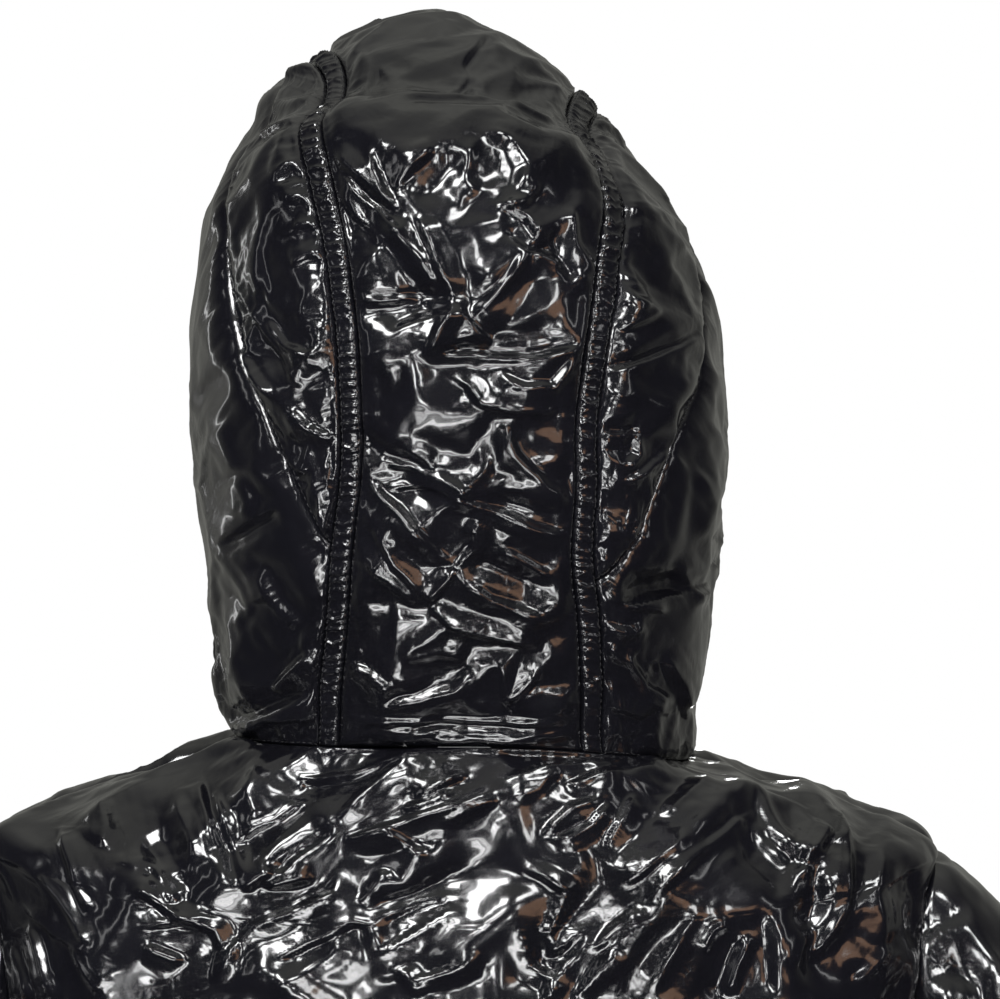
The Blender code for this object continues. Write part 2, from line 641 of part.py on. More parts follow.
def hood_panel(name, directions, puff, fade=PUFF_FADE):
    """A hood piece from a grid of directions, raised by puff between its seams."""
    base = hood_point(unit(directions))
    across, up = run_along(base, 1), run_along(base, 0)
    from_side = np.minimum(across, across[:, -1:] - across)
    from_end = np.minimum(up, up[-1:] - up)
    rise = puff * loft(from_side, fade) * loft(from_end, fade)
    outer, inner = creased(base, hood_away(base), rise)
    return wall(name, outer, inner, "glossy_shell")


def over_the_head(side_offsets, columns):
    """Directions of a band over the head between two strip lines, from the neck seam up."""
    first, last = (strip_edge(side, offset) for side, offset in side_offsets)
    directions = straight_across(first, last, columns)
    start, end = (neck_angle(side, offset) for side, offset in side_offsets)
    directions[0] = neck_direction(np.linspace(start, end, columns + 1))
    return directions


def side_rows(side):
    """The hood's rows that a side panel spans."""
    return slice(FIRST_SIDE_ROW[side], LAST_SIDE_ROW + 1)


def side_seam(side):
    """Directions round the side panel's seam, for the rows that it spans."""
    sign = 1 if side == "left" else -1
    tips = strip_line(side, STRIP_HALF_WIDTH + SEAM_GAP + TIP_WIDTH)[side_rows(side)]
    keys = np.linspace(0, 1, len(SIDE_SEAM))
    at = np.linspace(0, 1, len(tips))
    rise = np.radians(smooth_curve(keys, column(SIDE_SEAM, side + "_rise"), at))
    turn = np.radians(smooth_curve(keys, column(SIDE_SEAM, side + "_turn"), at))
    line = np.stack([sign * np.sin(turn) * np.cos(rise), np.cos(turn) * np.cos(rise), np.sin(rise)], axis=-1)
    line[0], line[-1] = tips[0], tips[-1]
    return line


def beside_line(line, distance):
    """A line of directions moved this far on the hood, to the right as seen from outside."""
    radius = np.linalg.norm(hood_point(line) - HOOD_EYE, axis=-1, keepdims=True)
    right = unit(np.cross(np.gradient(line, axis=0), line))
    return unit(line + right * distance / radius)


def cheek_edge(side):
    """Directions along the neck seam from strip to chin, then up the face opening."""
    sign = 1 if side == "left" else -1
    start = abs(neck_angle(side, STRIP_HALF_WIDTH + SEAM_GAP + TIP_WIDTH))
    chin_row = HOOD_ROWS // 2
    angles = start + (math.pi - front_edge_angle(BODY_LENGTH) - start) * np.linspace(0, 1, chin_row + 1)
    along_neck = neck_direction(sign * angles)
    keys = np.linspace(0, 1, len(FACE_EDGE))
    edge = np.array(FACE_EDGE)[::-1] * [sign, 1, 1]
    up_face = direction_to(smooth_curve(keys, edge, np.linspace(0, 1, HOOD_ROWS - chin_row + 1)))
    up_face[-1] = strip_line(side, STRIP_HALF_WIDTH + SEAM_GAP + TIP_WIDTH)[-1]
    return np.concatenate([along_neck[:-1], up_face])


def make_hood():
    """Centre panel, two strips, two side panels and two cheek panels."""
    beside = STRIP_HALF_WIDTH + SEAM_GAP
    centre = over_the_head([("left", -beside), ("right", -beside)], CENTRE_COLUMNS)
    hood_panel("hood_centre", centre, HOOD_PUFF)
    for side in ("left", "right"):
        strip = over_the_head([(side, STRIP_HALF_WIDTH), (side, -STRIP_HALF_WIDTH)], 2)
        hood_panel("hood_strip_" + side, strip, STRIP_PUFF, STRIP_HALF_WIDTH)
        rows = side_rows(side)
        seam, inner_line, edge = side_seam(side), strip_edge(side, beside), cheek_edge(side)
        panel = straight_across(seam, inner_line[rows], SIDE_COLUMNS)
        hood_panel("hood_side_" + side, panel, SIDE_PANEL_PUFF, SIDE_PANEL_FADE)
        inner_line[rows] = beside_line(seam, -CURVED_SEAM_GAP if side == "left" else CURVED_SEAM_GAP)
        hood_panel("hood_cheek_" + side, round_the_side(edge, inner_line, CHEEK_COLUMNS), HOOD_PUFF)


# ------------------------------------------------------------------------------ sleeves
def armhole(side):
    """The armhole's points: from the shoulder tip down its back edge, then up its front."""
    rows = np.arange(TIP_ROW, ARMPIT_ROW - 1, -1)
    along = rows / BODY_ROWS * BODY_LENGTH
    sign = 1 if side == "left" else -1
    back = torso_point(sign * armhole_angle(side, rows), along)
    front = torso_point(sign * (math.pi - armhole_angle(side, rows)), along)
    return np.concatenate([back, front[-2:0:-1]])


def sleeve_puff(along):
    """Loft down the sleeve: a plain cap, sewn channels and a turned cuff."""
    end = SLEEVE_LENGTH - CUFF_BAND
    height = (end - FIRST_SLEEVE_SEAM) / SLEEVE_CHANNELS
    channels = SLEEVE_PUFF * channel_puff(along, FIRST_SLEEVE_SEAM, height, end)
    cap = YOKE_PUFF * loft(along) * loft(FIRST_SLEEVE_SEAM - along)
    cuff = HEM_SHARE * SLEEVE_PUFF * np.sin(math.pi * np.clip((along - end) / CUFF_BAND, 0, 1))
    return np.where(along < FIRST_SLEEVE_SEAM, cap, np.where(along < end, channels, cuff))


def make_sleeve(side):
    """A sleeve, as rings from its armhole to the cuff."""
    sign = 1 if side == "left" else -1
    start = armhole(side) * [sign, 1, 1]
    count = len(start)
    along = np.linspace(0, SLEEVE_LENGTH, SLEEVE_ROWS + 1)
    keys = column(SLEEVE, "along")
    at = {name: smooth_curve(keys, column(SLEEVE, name), along)[:, None] for name in Ring._fields[1:]}
    turn = 2 * math.pi * np.arange(count) / count
    cosine, sine = np.cos(turn), np.sin(turn)
    x = (at["top_x"] + at["low_x"]) / 2 + cosine * (at["top_x"] - at["low_x"]) / 2
    z = (at["top_z"] + at["low_z"]) / 2 + cosine * (at["top_z"] - at["low_z"]) / 2
    y = at["mid_y"] + sine * at["half_depth"]
    rings = np.stack([x, y, z], axis=-1)
    rings += (1 - ease(along / CAP_LENGTH))[:, None, None] * (start - rings[0])
    middle = rings.mean(axis=1, keepdims=True)
    away = unit(rings - middle)
    rings[..., 0] += SEAM_GAP
    rings *= [sign, 1, 1]
    away *= [sign, 1, 1]
    off_body = ease((0.5 + cosine) / 0.5)
    puff = sleeve_puff(along)[:, None] * (1 - UNDER_ARM_LOSS * (1 - off_body))
    outer, inner = creased(rings, away, puff)
    return wall("sleeve_" + side, outer, inner, "glossy_shell", wrap=True)


# ---------------------------------------------------------------------------------- zip
def centre_front(along, sideways, outwards):
    """Points beside the centre front, this far sideways and this far out of the cloth."""
    base = torso_point(np.full_like(along, math.pi), along)
    away = torso_away(np.full_like(along, math.pi), along)
    base = base + away * outwards
    base[..., 0] = sideways
    return base


def zip_part(name, left, right, low, high, finish):
    """A band up the centre front between two x positions and two depths."""
    along = np.linspace(ZIP_FOOT, BODY_LENGTH - ZIP_TOP, BODY_ROWS + 1)
    section = [(left, high), (right, high), (right, low), (left, low)]
    lines = np.stack([centre_front(along, x, depth) for x, depth in section], axis=1)
    rows = len(along)
    points = lines.reshape(-1, 3)
    faces = grid_faces(rows, 4, 0, wrap=True) + [(0, 1, 2, 3), tuple(4 * (rows - 1) + k for k in range(4))]
    return mesh_object(name, points, faces, finish)


def slider_frame():
    """A matrix at the pull's axis: X across, Y into the cloth, Z up along the zip."""
    along = np.array([SLIDER_ALONG])
    origin = centre_front(along, 0.0, CHAIN_THICKNESS / 2 + SEAM_GAP + SLIDER_SIZE[1] + AXIS_OUT)[0]
    out = torso_away(np.array([math.pi]), along)[0]
    up = np.array([0.0, -out[2], out[1]])
    up = up if up[2] > 0 else -up
    frame = Matrix.Identity(4)
    for k, axis in enumerate(((1.0, 0.0, 0.0), -out, up)):
        for r in range(3):
            frame[r][k] = axis[r]
    for r in range(3):
        frame[r][3] = origin[r]
    return frame


def extruded(name, outline, half_width, frame, finish):
    """A plate: an outline of (y, z) points, as thick as twice half_width along X."""
    count = len(outline)
    points = [(x, y, z) for x in (-half_width, half_width) for y, z in outline]
    faces = [tuple(range(count)), tuple(range(count, 2 * count))]
    faces += [(k, (k + 1) % count, count + (k + 1) % count, count + k) for k in range(count)]
    made = mesh_object(name, np.array(points), faces, finish)
    made.data.transform(frame)
    return made


def box(name, low, high, frame, finish):
    """A rectangular block in a frame."""
    outline = [(low[1], low[2]), (high[1], low[2]), (high[1], high[2]), (low[1], high[2])]
    return extruded(name, outline, (high[0] - low[0]) / 2, frame, finish)


def arc(radius, steps=10):
    """Half a circle on the outer side of the pull's axis, from top to bottom."""
    turns = [math.pi * k / steps for k in range(steps + 1)]
    return [(-radius * math.sin(turn), radius * math.cos(turn)) for turn in turns]


def joined(name, pieces):
    """One object from pieces that overlap, by Boolean union."""
    first = pieces[0]
    for other in pieces[1:]:
        cut = first.modifiers.new("join", "BOOLEAN")
        cut.operation = "UNION"
        cut.solver = "EXACT"
        cut.object = other
        with bpy.context.temp_override(object=first, active_object=first, selected_objects=[first]):
            bpy.ops.object.modifier_apply(modifier=cut.name)
        bpy.data.objects.remove(other)
    first.name = name
    return first


def make_slider():
    """The slider, with the bridge that carries the pull."""
    frame = slider_frame()
    half_width, depth, half_height = SLIDER_SIZE[0] / 2, SLIDER_SIZE[1], SLIDER_SIZE[2] / 2
    plate = box(
        "zip_slider",
        (-half_width, AXIS_OUT, -half_height),
        (half_width, AXIS_OUT + depth, half_height),
        frame,
        "slider_metal",
    )
    foot = AXIS_OUT + depth / 2
    outline = [(foot, BRIDGE_OUTER), *arc(BRIDGE_OUTER), (foot, -BRIDGE_OUTER)]
    outline += [(foot, -BRIDGE_INNER), *reversed(arc(BRIDGE_INNER)), (foot, BRIDGE_INNER)]
    bridge = extruded("bridge", outline, BRIDGE_HALF_WIDTH, frame, "slider_metal")
    return joined("zip_slider", [plate, bridge])


def rounded(half_width, low, high, radius, steps=3):
    """A rectangle with round corners, as (x, z) points that run once round it."""
    points = []
    for quarter in range(4):
        right, top = quarter in (0, 3), quarter in (0, 1)
        centre_x = (half_width - radius) * (1 if right else -1)
        centre_z = high - radius if top else low + radius
        for k in range(steps + 1):
            turn = math.pi / 2 * (quarter + k / steps)
            points.append((centre_x + radius * math.cos(turn), centre_z + radius * math.sin(turn)))
    return points


def make_pull():
    """The pull: a flat tab whose eye rides on the slider's bridge."""
    half = PULL_THICKNESS / 2
    rim = rounded(PULL_HALF_WIDTH, -PULL_LENGTH, CROSSBAR, CORNER)
    eye = rounded(BRIDGE_HALF_WIDTH + EYE_ROOM, -PULL_EYE, -CROSSBAR, EYE_CORNER)
    count = len(rim)
    loops = [(rim, -half), (rim, half), (eye, half), (eye, -half)]
    points = [(x, y, z) for loop, y in loops for x, z in loop]
    faces = []
    for k in range(len(loops)):
        for c in range(count):
            d, after = (c + 1) % count, (k + 1) % len(loops)
            faces.append((k * count + c, k * count + d, after * count + d, after * count + c))
    pull = mesh_object("zip_pull", np.array(points), faces, "slider_metal")
    pull.data.transform(slider_frame())


def make_zip():
    """Two tapes, the closed chain, the slider and its pull."""
    tape_inner = CHAIN_HALF_WIDTH + SEAM_GAP
    tape_outer = ZIP_HALF_WIDTH - SEAM_GAP
    low, high = -TAPE_DEPTH, TAPE_THICKNESS - TAPE_DEPTH
    zip_part("zip_tape_left", tape_inner, tape_outer, low, high, "zip_tape")
    zip_part("zip_tape_right", -tape_outer, -tape_inner, low, high, "zip_tape")
    zip_part("zip_chain", -CHAIN_HALF_WIDTH, CHAIN_HALF_WIDTH, low, CHAIN_THICKNESS / 2, "zip_plastic")
    make_slider()
    make_pull()


def main():
    for obj in list(bpy.data.objects):
        bpy.data.objects.remove(obj)
    make_body()
    make_hood()
    make_sleeve("left")
    make_sleeve("right")
    make_zip()


main()
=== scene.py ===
"""The looks of a glossy hooded puffer jacket, filled out and hollow, as it is when worn.

Metres, +Z up. The front of the jacket faces -Y, the wearer's left is +X, and the origin is
the middle of the neck seam. Every cloth piece is a padded wall on the form that its solid
has: a torso of closed loops, a hood seen from one point inside it, or a sleeve of rings.
On that form lie the soft creases of the wadding, the sharp folds of the film-coated cloth,
its crumples, and the short puckers that stand across each seam.
"""

import logging
import math
from dataclasses import dataclass, field
from enum import Enum
from typing import NamedTuple

import bmesh
import bpy
import numpy as np
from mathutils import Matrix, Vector


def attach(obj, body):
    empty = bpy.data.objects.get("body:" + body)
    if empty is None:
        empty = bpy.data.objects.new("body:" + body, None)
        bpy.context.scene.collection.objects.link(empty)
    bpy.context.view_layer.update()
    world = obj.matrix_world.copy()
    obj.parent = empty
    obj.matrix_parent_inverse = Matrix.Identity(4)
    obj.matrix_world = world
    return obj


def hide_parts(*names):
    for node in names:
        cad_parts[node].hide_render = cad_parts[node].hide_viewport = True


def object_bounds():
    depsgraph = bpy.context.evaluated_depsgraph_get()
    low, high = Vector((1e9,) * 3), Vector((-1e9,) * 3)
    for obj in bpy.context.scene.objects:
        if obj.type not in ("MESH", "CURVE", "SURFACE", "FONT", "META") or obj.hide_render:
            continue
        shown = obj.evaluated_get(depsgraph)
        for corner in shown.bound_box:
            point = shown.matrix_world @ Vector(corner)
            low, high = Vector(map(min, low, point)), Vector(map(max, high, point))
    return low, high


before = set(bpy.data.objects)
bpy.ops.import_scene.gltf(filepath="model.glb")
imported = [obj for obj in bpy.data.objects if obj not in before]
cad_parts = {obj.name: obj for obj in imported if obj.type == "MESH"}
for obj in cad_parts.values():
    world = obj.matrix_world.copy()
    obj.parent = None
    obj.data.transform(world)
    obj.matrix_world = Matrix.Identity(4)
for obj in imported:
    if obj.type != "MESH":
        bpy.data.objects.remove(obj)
CAD_BOX = [list(corner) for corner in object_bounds()]

LOG = logging.getLogger("jacket")
MM = 0.001
Array = np.ndarray
Triple = tuple[float, float, float]  # a point, or a colour
Pair = tuple[float, float]
Face = tuple[int, ...]
Object = bpy.types.Object
Material = bpy.types.Material
Node = bpy.types.Node
Socket = bpy.types.NodeSocket
Tree = bpy.types.NodeTree

# ---- driving sizes, metres
WALL = 0.008  # shell, wadding and lining where they are sewn flat
SEAM_GAP = 0.0001
NECK_GAP = 0.0002
PUFF_FADE = 0.020  # a piece rises from its seam to full loft over this distance
SEAM_HOLD = 0.004  # the stitching holds the cloth's broad relief down over this distance
THINNEST = 0.003  # what a crease leaves of the wall
LINING_SWELLS = ((0.0016, 0.035, 8), (0.0010, 0.014, 9))  # rise, size and salt of each
BODY_LENGTH = 0.72  # hem to neck, measured along the back
ARMPIT = BODY_LENGTH * 22 / 42  # heights of the armhole's two ends, along the back
TIP = BODY_LENGTH * 33 / 42
HEM_BAND = 0.026
CHANNEL_HEIGHT = 0.094
CHANNELS = 5
YOKE_START = HEM_BAND + CHANNELS * CHANNEL_HEIGHT
BODY_SEAMS = [HEM_BAND + k * CHANNEL_HEIGHT for k in range(CHANNELS + 1)]
SLEEVE_LENGTH = 0.62
CUFF_BAND = 0.026
CAP_LENGTH = 0.090
FIRST_SLEEVE_SEAM = 0.150
SLEEVE_CHANNELS = 5
ZIP_HALF_WIDTH = 0.0090
CHAIN_HALF_WIDTH = 0.0031
STRIP_HALF_WIDTH = 0.0050
ARMHOLE_HALF_ANGLES = (math.radians(19), math.radians(21))  # on the left and on the right
LINING_STEP = 4  # the lining keeps one point in this many, each way
CROWN_BEND_WIDTHS = (0.014, 0.020)  # of the trough and of the roll below it
FOLD_RISE = 1.4  # how much higher the film stands along a fold than its row says


class Side(Enum):
    """A side of the wearer, with its direction along X."""

    LEFT = 1
    RIGHT = -1

    @property
    def label(self) -> str:
        """The side's name in lower case."""
        return self.name.lower()

    def pick(self, pair: tuple) -> object:
        """The left or the right one of a pair."""
        return pair[self is Side.RIGHT]


# ---- calculation
def smooth_curve(keys: Array, values: Array, at: Array) -> Array:
    """A smooth curve through values at keys that never overshoots them.

    Args:
        keys: Places of the values, rising.
        values: One value, or one row of values, for each key.
        at: Places to read the curve at.

    Returns:
        The curve's value, or row of values, at each place.
    """
    at = np.clip(np.asarray(at, float), keys[0], keys[-1])
    rises = (np.diff(values, axis=0).T / np.diff(keys)).T
    both = rises[1:] * rises[:-1]
    slopes = np.concatenate([rises[:1], np.zeros_like(both), rises[-1:]])
    slopes[1:-1] = np.where(both > 0, 2 * both / np.where(both > 0, rises[1:] + rises[:-1], 1), 0)
    i = np.clip(np.searchsorted(keys, at, side="right") - 1, 0, len(keys) - 2)
    step = keys[i + 1] - keys[i]
    s = (at - keys[i]) / step
    if values.ndim > 1:
        s, step = s[..., None], step[..., None]
    return (
        (1 + 2 * s) * (1 - s) ** 2 * values[i]
        + s * (1 - s) ** 2 * step * slopes[i]
        + s * s * (3 - 2 * s) * values[i + 1]
        - s * s * (1 - s) * step * slopes[i + 1]
    )


def ease(x: Array) -> Array:
    """0 below 0, 1 above 1, and smooth between."""
    x = np.clip(x, 0, 1)
    return x * x * (3 - 2 * x)


def unit(vectors: Array) -> Array:
    """The vectors at length 1."""
    return vectors / np.linalg.norm(vectors, axis=-1, keepdims=True)


def loft(distance: Array, fade: float = PUFF_FADE) -> Array:
    """How far a padded piece has risen, this far from its seam: a quarter circle."""
    inward = 1 - np.clip(distance / fade, 0, 1)
    return np.sqrt(1 - inward * inward)


def run_along(points: Array, axis: int) -> Array:
    """The distance along one axis of a grid of points, from its start.

    Args:
        points: The grid.
        axis: The axis that the distance runs along.

    Returns:
        Distances in metres, one for each point.
    """
    step = np.linalg.norm(np.diff(points, axis=axis), axis=-1)
    first = np.zeros_like(step.take([0], axis=axis))
    return np.cumsum(np.concatenate([first, step], axis=axis), axis=axis)


def drawn(i: Array, j: Array, salt: int) -> Array:
    """A number from 0 to 1 for each cell (i, j), always the same for the same salt.

    Args:
        i: First number of each cell.
        j: Second number.
        salt: Sets which numbers come out.

    Returns:
        The numbers, the shape of i.
    """
    mixed = i.astype(np.int64) * 73856093 ^ j.astype(np.int64) * 19349663 ^ salt * 83492791
    mixed = (mixed ^ mixed >> 13) * 1274126177
    return (mixed ^ mixed >> 16 & 0xFFFFFFF) % 0xFFFFFF / 0xFFFFFF


def soft_noise(u: Array, v: Array, size: float, salt: int) -> Array:
    """Smooth noise from -1 to 1 whose swells are about size across.

    Args:
        u: First coordinate of each point.
        v: Second coordinate.
        size: How wide a swell is, in the same unit.
        salt: Sets which noise it is.

    Returns:
        The noise, the shape of u.
    """
    a, b = u / size, v / size
    i, j = np.floor(a), np.floor(b)
    s, t = ease(a - i), ease(b - j)
    low = drawn(i, j, salt) * (1 - s) + drawn(i + 1, j, salt) * s
    high = drawn(i, j + 1, salt) * (1 - s) + drawn(i + 1, j + 1, salt) * s
    return 2 * (low * (1 - t) + high * t) - 1


# ---- tables
class Table:
    """Rows of numbers with a name for each column."""

    def __init__(self, names: str, *rows: tuple[float, ...], per_metre: float = 1.0) -> None:
        """Keeps the rows.

        Args:
            names: The columns' names, with spaces between them.
            *rows: The rows, from one end of what they describe to the other.
            per_metre: What every number is divided by.
        """
        self.names = names.split()
        self.rows = np.array(rows, float) / per_metre

    def __getitem__(self, name: str) -> Array:
        """One column."""
        return self.rows[:, self.names.index(name)].copy()

    def at(self, places: Array) -> dict[str, Array]:
        """The other columns at places along the first, each read from a smooth curve."""
        keys = self[self.names[0]]
        return {name: smooth_curve(keys, self[name], places) for name in self.names[1:]}


class Fold(NamedTuple):
    """A sharp fold of the film, in millimetres: rise above 0 is a ridge."""

    rise: float
    width: float
    points: Array


def folds(*rows: tuple[float, ...]) -> tuple[Fold, ...]:
    """Folds from rows of a rise, a width and two coordinates for each point that it passes.

    Args:
        *rows: The rows, one for each fold.

    Returns:
        The folds, in the same order.
    """
    return tuple(
        Fold(rise, width, np.array(points, float).reshape(-1, 2)) for rise, width, *points in rows
    )


# Closed loops of the torso, from the hem up: place up the back, heights and reach.
TORSO = Table(
    "along back_z left_z right_z front_z half_width back_y front_y roundness",
    (0, -0.63, -0.63, -0.63, -0.63, 0.226, 0.114, -0.121, 2.4),
    (0.11, -0.52, -0.52, -0.52, -0.52, 0.23, 0.118, -0.126, 2.4),
    (0.23, -0.4, -0.4, -0.4, -0.4, 0.219, 0.112, -0.122, 2.4),
    (0.377, -0.255, -0.254, -0.258, -0.262, 0.229, 0.124, -0.133, 2.5),
    (0.48, -0.155, -0.152, -0.16, -0.19, 0.236, 0.126, -0.132, 2.5),
    (0.566, -0.086, -0.057, -0.065, -0.136, 0.237, 0.119, -0.126, 2.5),
    (0.607, -0.06, -0.043, -0.05, -0.118, 0.21, 0.115, -0.124, 2.5),
    (0.65, -0.037, -0.029, -0.035, -0.1, 0.178, 0.11, -0.121, 2.4),
    (0.688, -0.017, -0.019, -0.027, -0.086, 0.145, 0.105, -0.119, 2.35),
    (0.72, 0, -0.004, -0.0165, -0.072, 0.114, 0.099, -0.117, 2.3),
)
# Level sections of the filled hood: height, reach, and where each is widest.
HOOD = Table(
    "height left right back middle front",
    (-0.12, 0.114, -0.114, 0.099, 0, -0.117),
    (0, 0.114, -0.114, 0.099, 0, -0.117),
    (0.012, 0.1145, -0.114, 0.103, 0, -0.121),
    (0.024, 0.1183, -0.1165, 0.108, 0, -0.126),
    (0.048, 0.1214, -0.1206, 0.116, 0, -0.132),
    (0.085, 0.1249, -0.1231, 0.127, 0, -0.138),
    (0.134, 0.1297, -0.1282, 0.138, 0, -0.144),
    (0.165, 0.1321, -0.1277, 0.143, 0, -0.147),
    (0.195, 0.1316, -0.1252, 0.145, 0, -0.149),
    (0.232, 0.128, -0.116, 0.144, 0, -0.151),
    (0.257, 0.1234, -0.1032, 0.139, -0.001, -0.152),
    (0.281, 0.115, -0.0885, 0.13, -0.003, -0.152),
    (0.302, 0.104, -0.0735, 0.115, -0.006, -0.149),
    (0.318, 0.0965, -0.0625, 0.098, -0.012, -0.145),
    (0.3295, 0.085, -0.049, 0.08, -0.02, -0.139),
    (0.3413, 0.07, -0.032, 0.056, -0.03, -0.128),
    (0.3534, 0.044, -0.006, 0.02, -0.042, -0.108),
    (0.3594, 0.027, 0.0045, -0.01, -0.052, -0.088),
    (0.363, 0.018, 0.012, -0.04, -0.056, -0.07),
)
# The two strips: pitch in degrees as seen from the hood's eye, distances from the middle.
STRIPS = Table(
    "pitch left right",
    (-55.7, 0.0655, 0.0644),
    (-39.4, 0.06, 0.062),
    (-26, 0.0574, 0.0586),
    (-11.6, 0.0529, 0.0604),
    (-3.2, 0.0519, 0.0599),
    (12.4, 0.0533, 0.064),
    (28.7, 0.0586, 0.0699),
    (40, 0.065, 0.0722),
    (54, 0.07, 0.066),
    (73, 0.0665, 0.0618),
    (98, 0.074, 0.062),
    (133, 0.066, 0.06),
)
# The seams round the hood's side panels: elevation and turn from the back, in degrees.
SIDE_SEAM = Table(
    "left_rise left_turn right_rise right_turn",
    (-23.5, 25.5, -30.5, 27.5),
    (-15, 30, -23.5, 34),
    (-6, 34, -14, 39),
    (4, 38.5, -4, 44),
    (14, 44, 7, 54),
    (23, 49, 17, 60),
    (32, 52.5, 28, 68),
    (40, 56.5, 39, 75),
    (48, 61, 49, 79),
    (56, 68, 58, 83),
    (63, 80, 65, 90),
)
# The edge of the face opening, from the forehead to the chin, on the wearer's left.
FACE_EDGE = Table(
    "x y z",
    (77, -146, 298),
    (90, -136, 255),
    (98, -124, 190),
    (94, -118, 110),
    (74, -118, 30),
    (42, -120, -25),
    (9.5, -122, -48),
    per_metre=1000,
)
# Rings of the left sleeve: place along the arm, upper and lower point, middle and half depth.
SLEEVE = Table(
    "along top_x top_z low_x low_z mid_y half_depth",
    (0, 238, -55, 229, -254, 0, 60),
    (30, 262, -74, 240, -256, 0, 70),
    (80, 290, -112, 250, -262, 0, 77),
    (160, 341, -172, 257, -280, -1, 76),
    (280, 378, -286, 262, -335, -6, 69),
    (420, 398, -425, 284, -452, -20, 60),
    (560, 409, -564, 309, -578, -43, 50),
    (620, 412, -624, 318, -634, -54, 47),
    per_metre=1000,
)
# Long bends of the whole wall over the crown, seen from behind: depth below 0 stands out.
CROWN_TROUGH = Table(
    "x z depth",
    (118, 284, 2),
    (98, 306, 7),
    (79, 320, 11),
    (58, 328, 14),
    (28, 331, 14),
    (0, 327, 12),
    (-30, 321, 11),
    (-54, 312, 9),
    (-74, 297, 6),
    (-92, 273, 3),
    (-102, 245, 0),
    per_metre=1000,
)
CROWN_ROLL = Table(
    "x z depth",
    (105, 268, -2),
    (80, 292, -5),
    (45, 300, -7),
    (0, 294, -6),
    (-40, 288, -5),
    (-72, 270, -3),
    (-90, 240, 0),
    per_metre=1000,
)
# Soft creases of the wadding from one end to the other, seen from behind and in front.
BACK_CREASES = Table(
    "x1 z1 x2 z2 depth width",
    # hood
    (52, 275, 6, 200, 3.5, 6),
    (40, 262, 2, 216, -3.5, 6),
    (22, 262, -2, 285, 3.5, 6),
    (-3, 222, 50, 212, 3.5, 5.5),
    (-3, 222, -40, 250, -3.5, 6.5),
    (-3, 222, 20, 190, -3.5, 6.5),
    (0, 200, -55, 204, 3, 5.5),
    (52, 160, 8, 118, 3.5, 6.5),
    (52, 124, 10, 98, -3.5, 7.5),
    (-10, 128, -55, 108, 3, 6),
    (4, 96, -45, 80, 3.5, 6),
    (45, 44, 12, 30, -3, 7),
    (58, 12, -58, 10, 3.5, 4.5),
    (108, 230, 74, 178, 3.5, 6.5),
    (100, 192, 68, 150, -3.5, 6.5),
    (92, 78, 74, 52, 3.5, 8),
    (-84, 150, -110, 190, -3, 8),
    (-75, 78, -112, 82, 3.5, 6),
    (-78, 250, -98, 205, 3.5, 7),
    # yoke and upper back
    (100, -20, 20, -4, 4, 8),
    (60, -52, -10, -12, -4.5, 9),
    (126, -62, 62, -12, 4.5, 8),
    (110, -98, 55, -135, -4.5, 9),
    (60, -90, -30, -45, 4.5, 9),
    (150, -30, 128, -90, 4.5, 10),
    (20, -110, -40, -62, -4.5, 10),
    (-20, -125, -85, -40, 4.5, 10),
    (-60, -120, -118, -45, -4.5, 10),
    (-135, -45, -165, -75, 4.5, 9),
    (-170, -60, -172, -125, 4.5, 10),
    (-120, -130, -140, -80, 4.5, 10),
    (-195, -120, -205, -70, -4, 9),
    # sleeve caps
    (232, -80, 262, -170, 5, 9),
    (262, -100, 292, -190, -5, 10),
    (240, -150, 285, -215, 5, 9),
    (-240, -90, -285, -180, 5, 9),
    (-250, -160, -300, -215, 5, 9),
    (-275, -110, -300, -170, -4.5, 9),
    per_metre=1000,
)
FRONT_CREASES = Table(
    "x1 z1 x2 z2 depth width",
    # chest
    (150, -60, 80, -150, 4.5, 10),
    (110, -75, 45, -130, -4, 9),
    (185, -110, 120, -150, 4.5, 9),
    (-140, -60, -70, -140, 4.5, 10),
    (-105, -80, -35, -120, -4, 9),
    (-190, -105, -125, -155, 4.5, 9),
    # sleeve caps
    (240, -100, 275, -200, 5, 9),
    (-240, -100, -275, -200, 5, 9),
    per_metre=1000,
)
